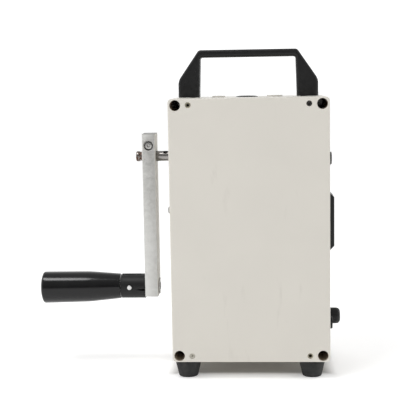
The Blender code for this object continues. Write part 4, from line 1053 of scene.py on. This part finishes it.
def make_side_screw():
    """Domed cross-head screw in the left wall."""
    low, high, at = span("side_screw")
    head = -HALF_W - GAP
    rim = head - 0.6
    dome = [(rim - (rim - low.x) * math.sin(a), 3.0 * math.cos(a) ** 0.8)
            for a in (math.radians(90 - 10 * step) for step in range(10))]
    profile = [*dome, (head, 3.0), (head, 1.5), (high.x, 1.5), (high.x, 0)]
    cross = [block((low.x - 1, low.x + 1.2), (at.y - y, at.y + y), (at.z - z, at.z + z))
             for y, z in ((1.5, 0.4), (0.4, 1.5))]
    screw = cut(fine("side_screw", turned(profile, "X", (0, at.y, at.z), 48)), *cross)
    stands_for(screw, "side_screw")


# ---- front

def make_tuning_knob():
    low, high, at = span("tuning_knob")
    radius = (high.z - low.z) / 2
    base, hollow = LID_Y[1] + 1.8, high.y - 1.0
    profile = [(low.y, 0), (low.y, 3), (base, 3), (base, radius), (base + 2, radius),
               (base + 3.2, radius - 1.6), (high.y, radius - 2.6), (high.y, radius - 6),
               (hollow, radius - 7), (hollow, 0)]
    radii = [0, 0.2, 0.2, 0.6, 0.5, 0.6, 1.2, 0.4, 0.8, 0]
    body = lathe(profile, radii, 6, "Y", (at.x, 0, at.z), 128)
    grooves = [rod(base + 3.4, high.y - 1.4, 0.75, "Y", (x, 0, z), 10, 0)
               for x, z in around((at.x, at.z), radius - 1.3, 36)]
    pointer = block((at.x - 0.6, at.x + 0.6), (high.y - 1.7, high.y + 1), (at.z + 3, at.z + radius + 1))
    stands_for(cut(fine("tuning_knob", body), *grooves, pointer), "tuning_knob")


def make_dial():
    """Flat black ring with a printed scale: ticks all round and the numbers 0 to 10."""
    low, high, at = span("dial_ring")
    radius = (high.z - low.z) / 2
    ring = sleeve(low.y, high.y, 5, radius, "Y", (at.x, 0, at.z), 128, 0.25)
    stands_for(fine("dial_ring", ring), "dial_ring")
    ink = bmesh.new()
    ticks, outer = 50, 20.0
    for step in range(ticks + 1):
        angle = math.radians(DIAL_START - DIAL_SWEEP * step / ticks)
        inner, half = (17.6, 0.28) if step % 5 == 0 else (18.6, 0.16)
        along = Vector((math.cos(angle), 0, math.sin(angle)))
        side = Vector((-along.z, 0, along.x))
        base = [ink.verts.new(Vector((at.x, high.y + 0.01, at.z)) + along * r + side * w)
                for r, w in ((inner, -half), (outer, -half), (outer, half), (inner, half))]
        top = [ink.verts.new(vert.co + Vector((0, 0.06, 0))) for vert in base]
        ink.faces.new(base)
        ink.faces.new(top[::-1])
        for i in range(4):
            j = (i + 1) % 4
            ink.faces.new((base[i], top[i], top[j], base[j]))
    bmesh.ops.recalc_face_normals(ink, faces=ink.faces)
    place(piece("dial_scale", ink, FINISHES["ink"]), "case")
    for number in range(11):
        make_dial_number(number, at, high.y + 0.05)


def make_dial_number(number, at, y):
    """Seen from the front, +x is on the left, so the scale runs the other way round."""
    angle = math.radians(DIAL_START - DIAL_SWEEP * number / 10)
    text = bpy.data.curves.new(f"number_{number}", "FONT")
    text.body = str(number)
    text.size = 4.4 * MM
    text.extrude = 0.03 * MM
    text.align_x = "CENTER"
    text.align_y = "CENTER"
    text.materials.append(FINISHES["ink"])
    label = add(f"dial_number_{number}", text)
    spot = CASE @ Vector((at.x - 23.6 * math.cos(angle), y, at.z + 23.6 * math.sin(angle)))
    label.matrix_world = (Matrix.Translation(spot) @ Matrix.Rotation(math.pi, 4, "Z")
                          @ Matrix.Rotation(math.pi / 2, 4, "X"))
    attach(label, "case")


def make_band_slider():
    low, high = limits("band_slider")
    body = bevel(block((low.x, high.x), (low.y, high.y), (low.z, high.z)), 0.35, 3)
    ridges = [block((x, x + 0.5), (high.y - 0.5, high.y + 1), (low.z - 1, high.z + 1))
              for x in (low.x + 1.0 + step for step in range(4))]
    slider = cut(fine("band_slider", body), *ridges)
    stands_for(level_shading(slider), "band_slider")


def make_lens():
    low, high, at = span("indicator_lens")
    radius, inner, rim = 2.5, LID_Y[1] - WALL - GAP, LID_Y[1] - 0.1
    dome = [(rim + (high.y - rim) * math.sin(a), radius * math.cos(a))
            for a in (math.radians(10 * step) for step in range(9))]
    profile = [(low.y, 0), (low.y, 3.6), (inner, 3.6), (inner, radius), *dome, (high.y, 0)]
    lens = turned(profile, "Y", (at.x, 0, at.z), 48)
    stands_for(fine("indicator_lens", lens), "indicator_lens")


# ---- stage

def make_floor():
    """White paper with a faint painted glow of light, and grey painted shadow without the glow under the
    case.
    """
    make = Finish("floor_paper", 0.9)
    make.shader.inputs["Emission Color"].default_value = (1, 1, 1, 1)
    back = CASE_ORIGIN.y
    aside = make.ramp(make.apart("X", CASE_ORIGIN.x), 0.056, 0.066)
    near = make.ramp(make.along("Y"), back + 0.020, back + 0.011)
    behind = make.ramp(make.along("Y"), back + 0.095, back + 0.12)
    paper = make.blend(make.noise(3, 2), (0.935, 0.935, 0.935), (0.95, 0.95, 0.95))
    # painted light: the floor glows where it is clear of the case
    clear = make.maths("MAXIMUM", make.maths("MAXIMUM", near, behind), aside)
    make.feed("Emission Strength", make.times(clear, PAINTED_FLOOR_LIGHT))
    # painted shadow: the floor under the case is coloured grey, darker further under it
    deeper = make.ramp(make.along("Y"), back + 0.020, back + 0.044)
    shade = make.blend(deeper, (0.55, 0.54, 0.52), (0.72, 0.705, 0.68))
    make.colour(make.blend(clear, shade, paper))
    sheet = bmesh.new()
    bmesh.ops.create_grid(sheet, x_segments=1, y_segments=1, size=20)
    piece("floor", sheet, make.material)


def make_surround():
    """Bright backdrop, a dimmer ceiling and a darker room on the camera's side."""
    world = bpy.data.worlds.new("surround")
    bpy.context.scene.world = world
    world.use_nodes = True
    tree = world.node_tree
    ahead = add_node(tree, "ShaderNodeTexCoord", "Generated", {})
    depth, height = (add_node(tree, "ShaderNodeSeparateXYZ", axis, {"Vector": ahead}) for axis in "YZ")
    light = add_node(tree, "ShaderNodeMath", "Value", {
        0: map_range(tree, depth, -1.0, -0.35, ROOM_LIGHT, BACKDROP_LIGHT),
        1: map_range(tree, height, 0.45, 0.8, 1.0, CEILING_SHARE)}, operation="MULTIPLY")
    background = tree.nodes["Background"]
    background.inputs["Color"].default_value = (1, 1, 1, 1)
    tree.links.new(light, background.inputs["Strength"])


def make_lamp():
    """A soft strip high over the left of the back wall."""
    centre = (Vector(CAD_BOX[0]) + Vector(CAD_BOX[1])) / 2
    data = bpy.data.lights.new("strip", "AREA")
    data.shape = "RECTANGLE"
    data.size, data.size_y = 0.55, 0.3
    data.energy = 5.5
    lamp = add("strip", data)
    lamp.location = centre + Vector((-0.42, -0.42, 1.15))
    lamp.rotation_euler = (centre - lamp.location).to_track_quat("-Z", "Y").to_euler()


def make_camera():
    """A long lens a little above the case, to the right of its back wall and slightly rolled."""
    yaw, pitch, roll = math.radians(-3.431), math.radians(6.999), math.radians(-0.944)
    distance = 0.765
    target = CASE @ Vector((-30.97, 0, 118.49))
    ahead = Vector((math.sin(yaw) * math.cos(pitch), math.cos(yaw) * math.cos(pitch), -math.sin(pitch)))
    lens = bpy.data.cameras.new("camera")
    lens.sensor_width = 36
    lens.lens = 88.55
    lens.clip_start = 0.01
    camera = add("camera", lens)
    turn = ahead.to_track_quat("-Z", "Y").to_matrix().to_4x4() @ Matrix.Rotation(roll, 4, "Z")
    camera.matrix_world = Matrix.Translation(target - ahead * distance) @ turn
    bpy.context.scene.camera = camera


bpy.context.scene.view_settings.view_transform = "Standard"
dress_cad_nodes()
make_camera()
make_floor()
make_surround()
make_lamp()
make_rear_shell()
make_mount_inserts()
make_front_lid()
make_handle()
make_feet()
make_shaft()
make_arm()
make_clamp_screw()
make_hinge_block()
make_fold_pin()
make_spindle()
make_retaining_ring()
make_grip()
make_top_buttons()
make_side_button()
make_side_bezel()
make_rocker()
make_volume_knob()
make_jack()
make_side_screw()
make_tuning_knob()
make_dial()
make_band_slider()
make_lens()
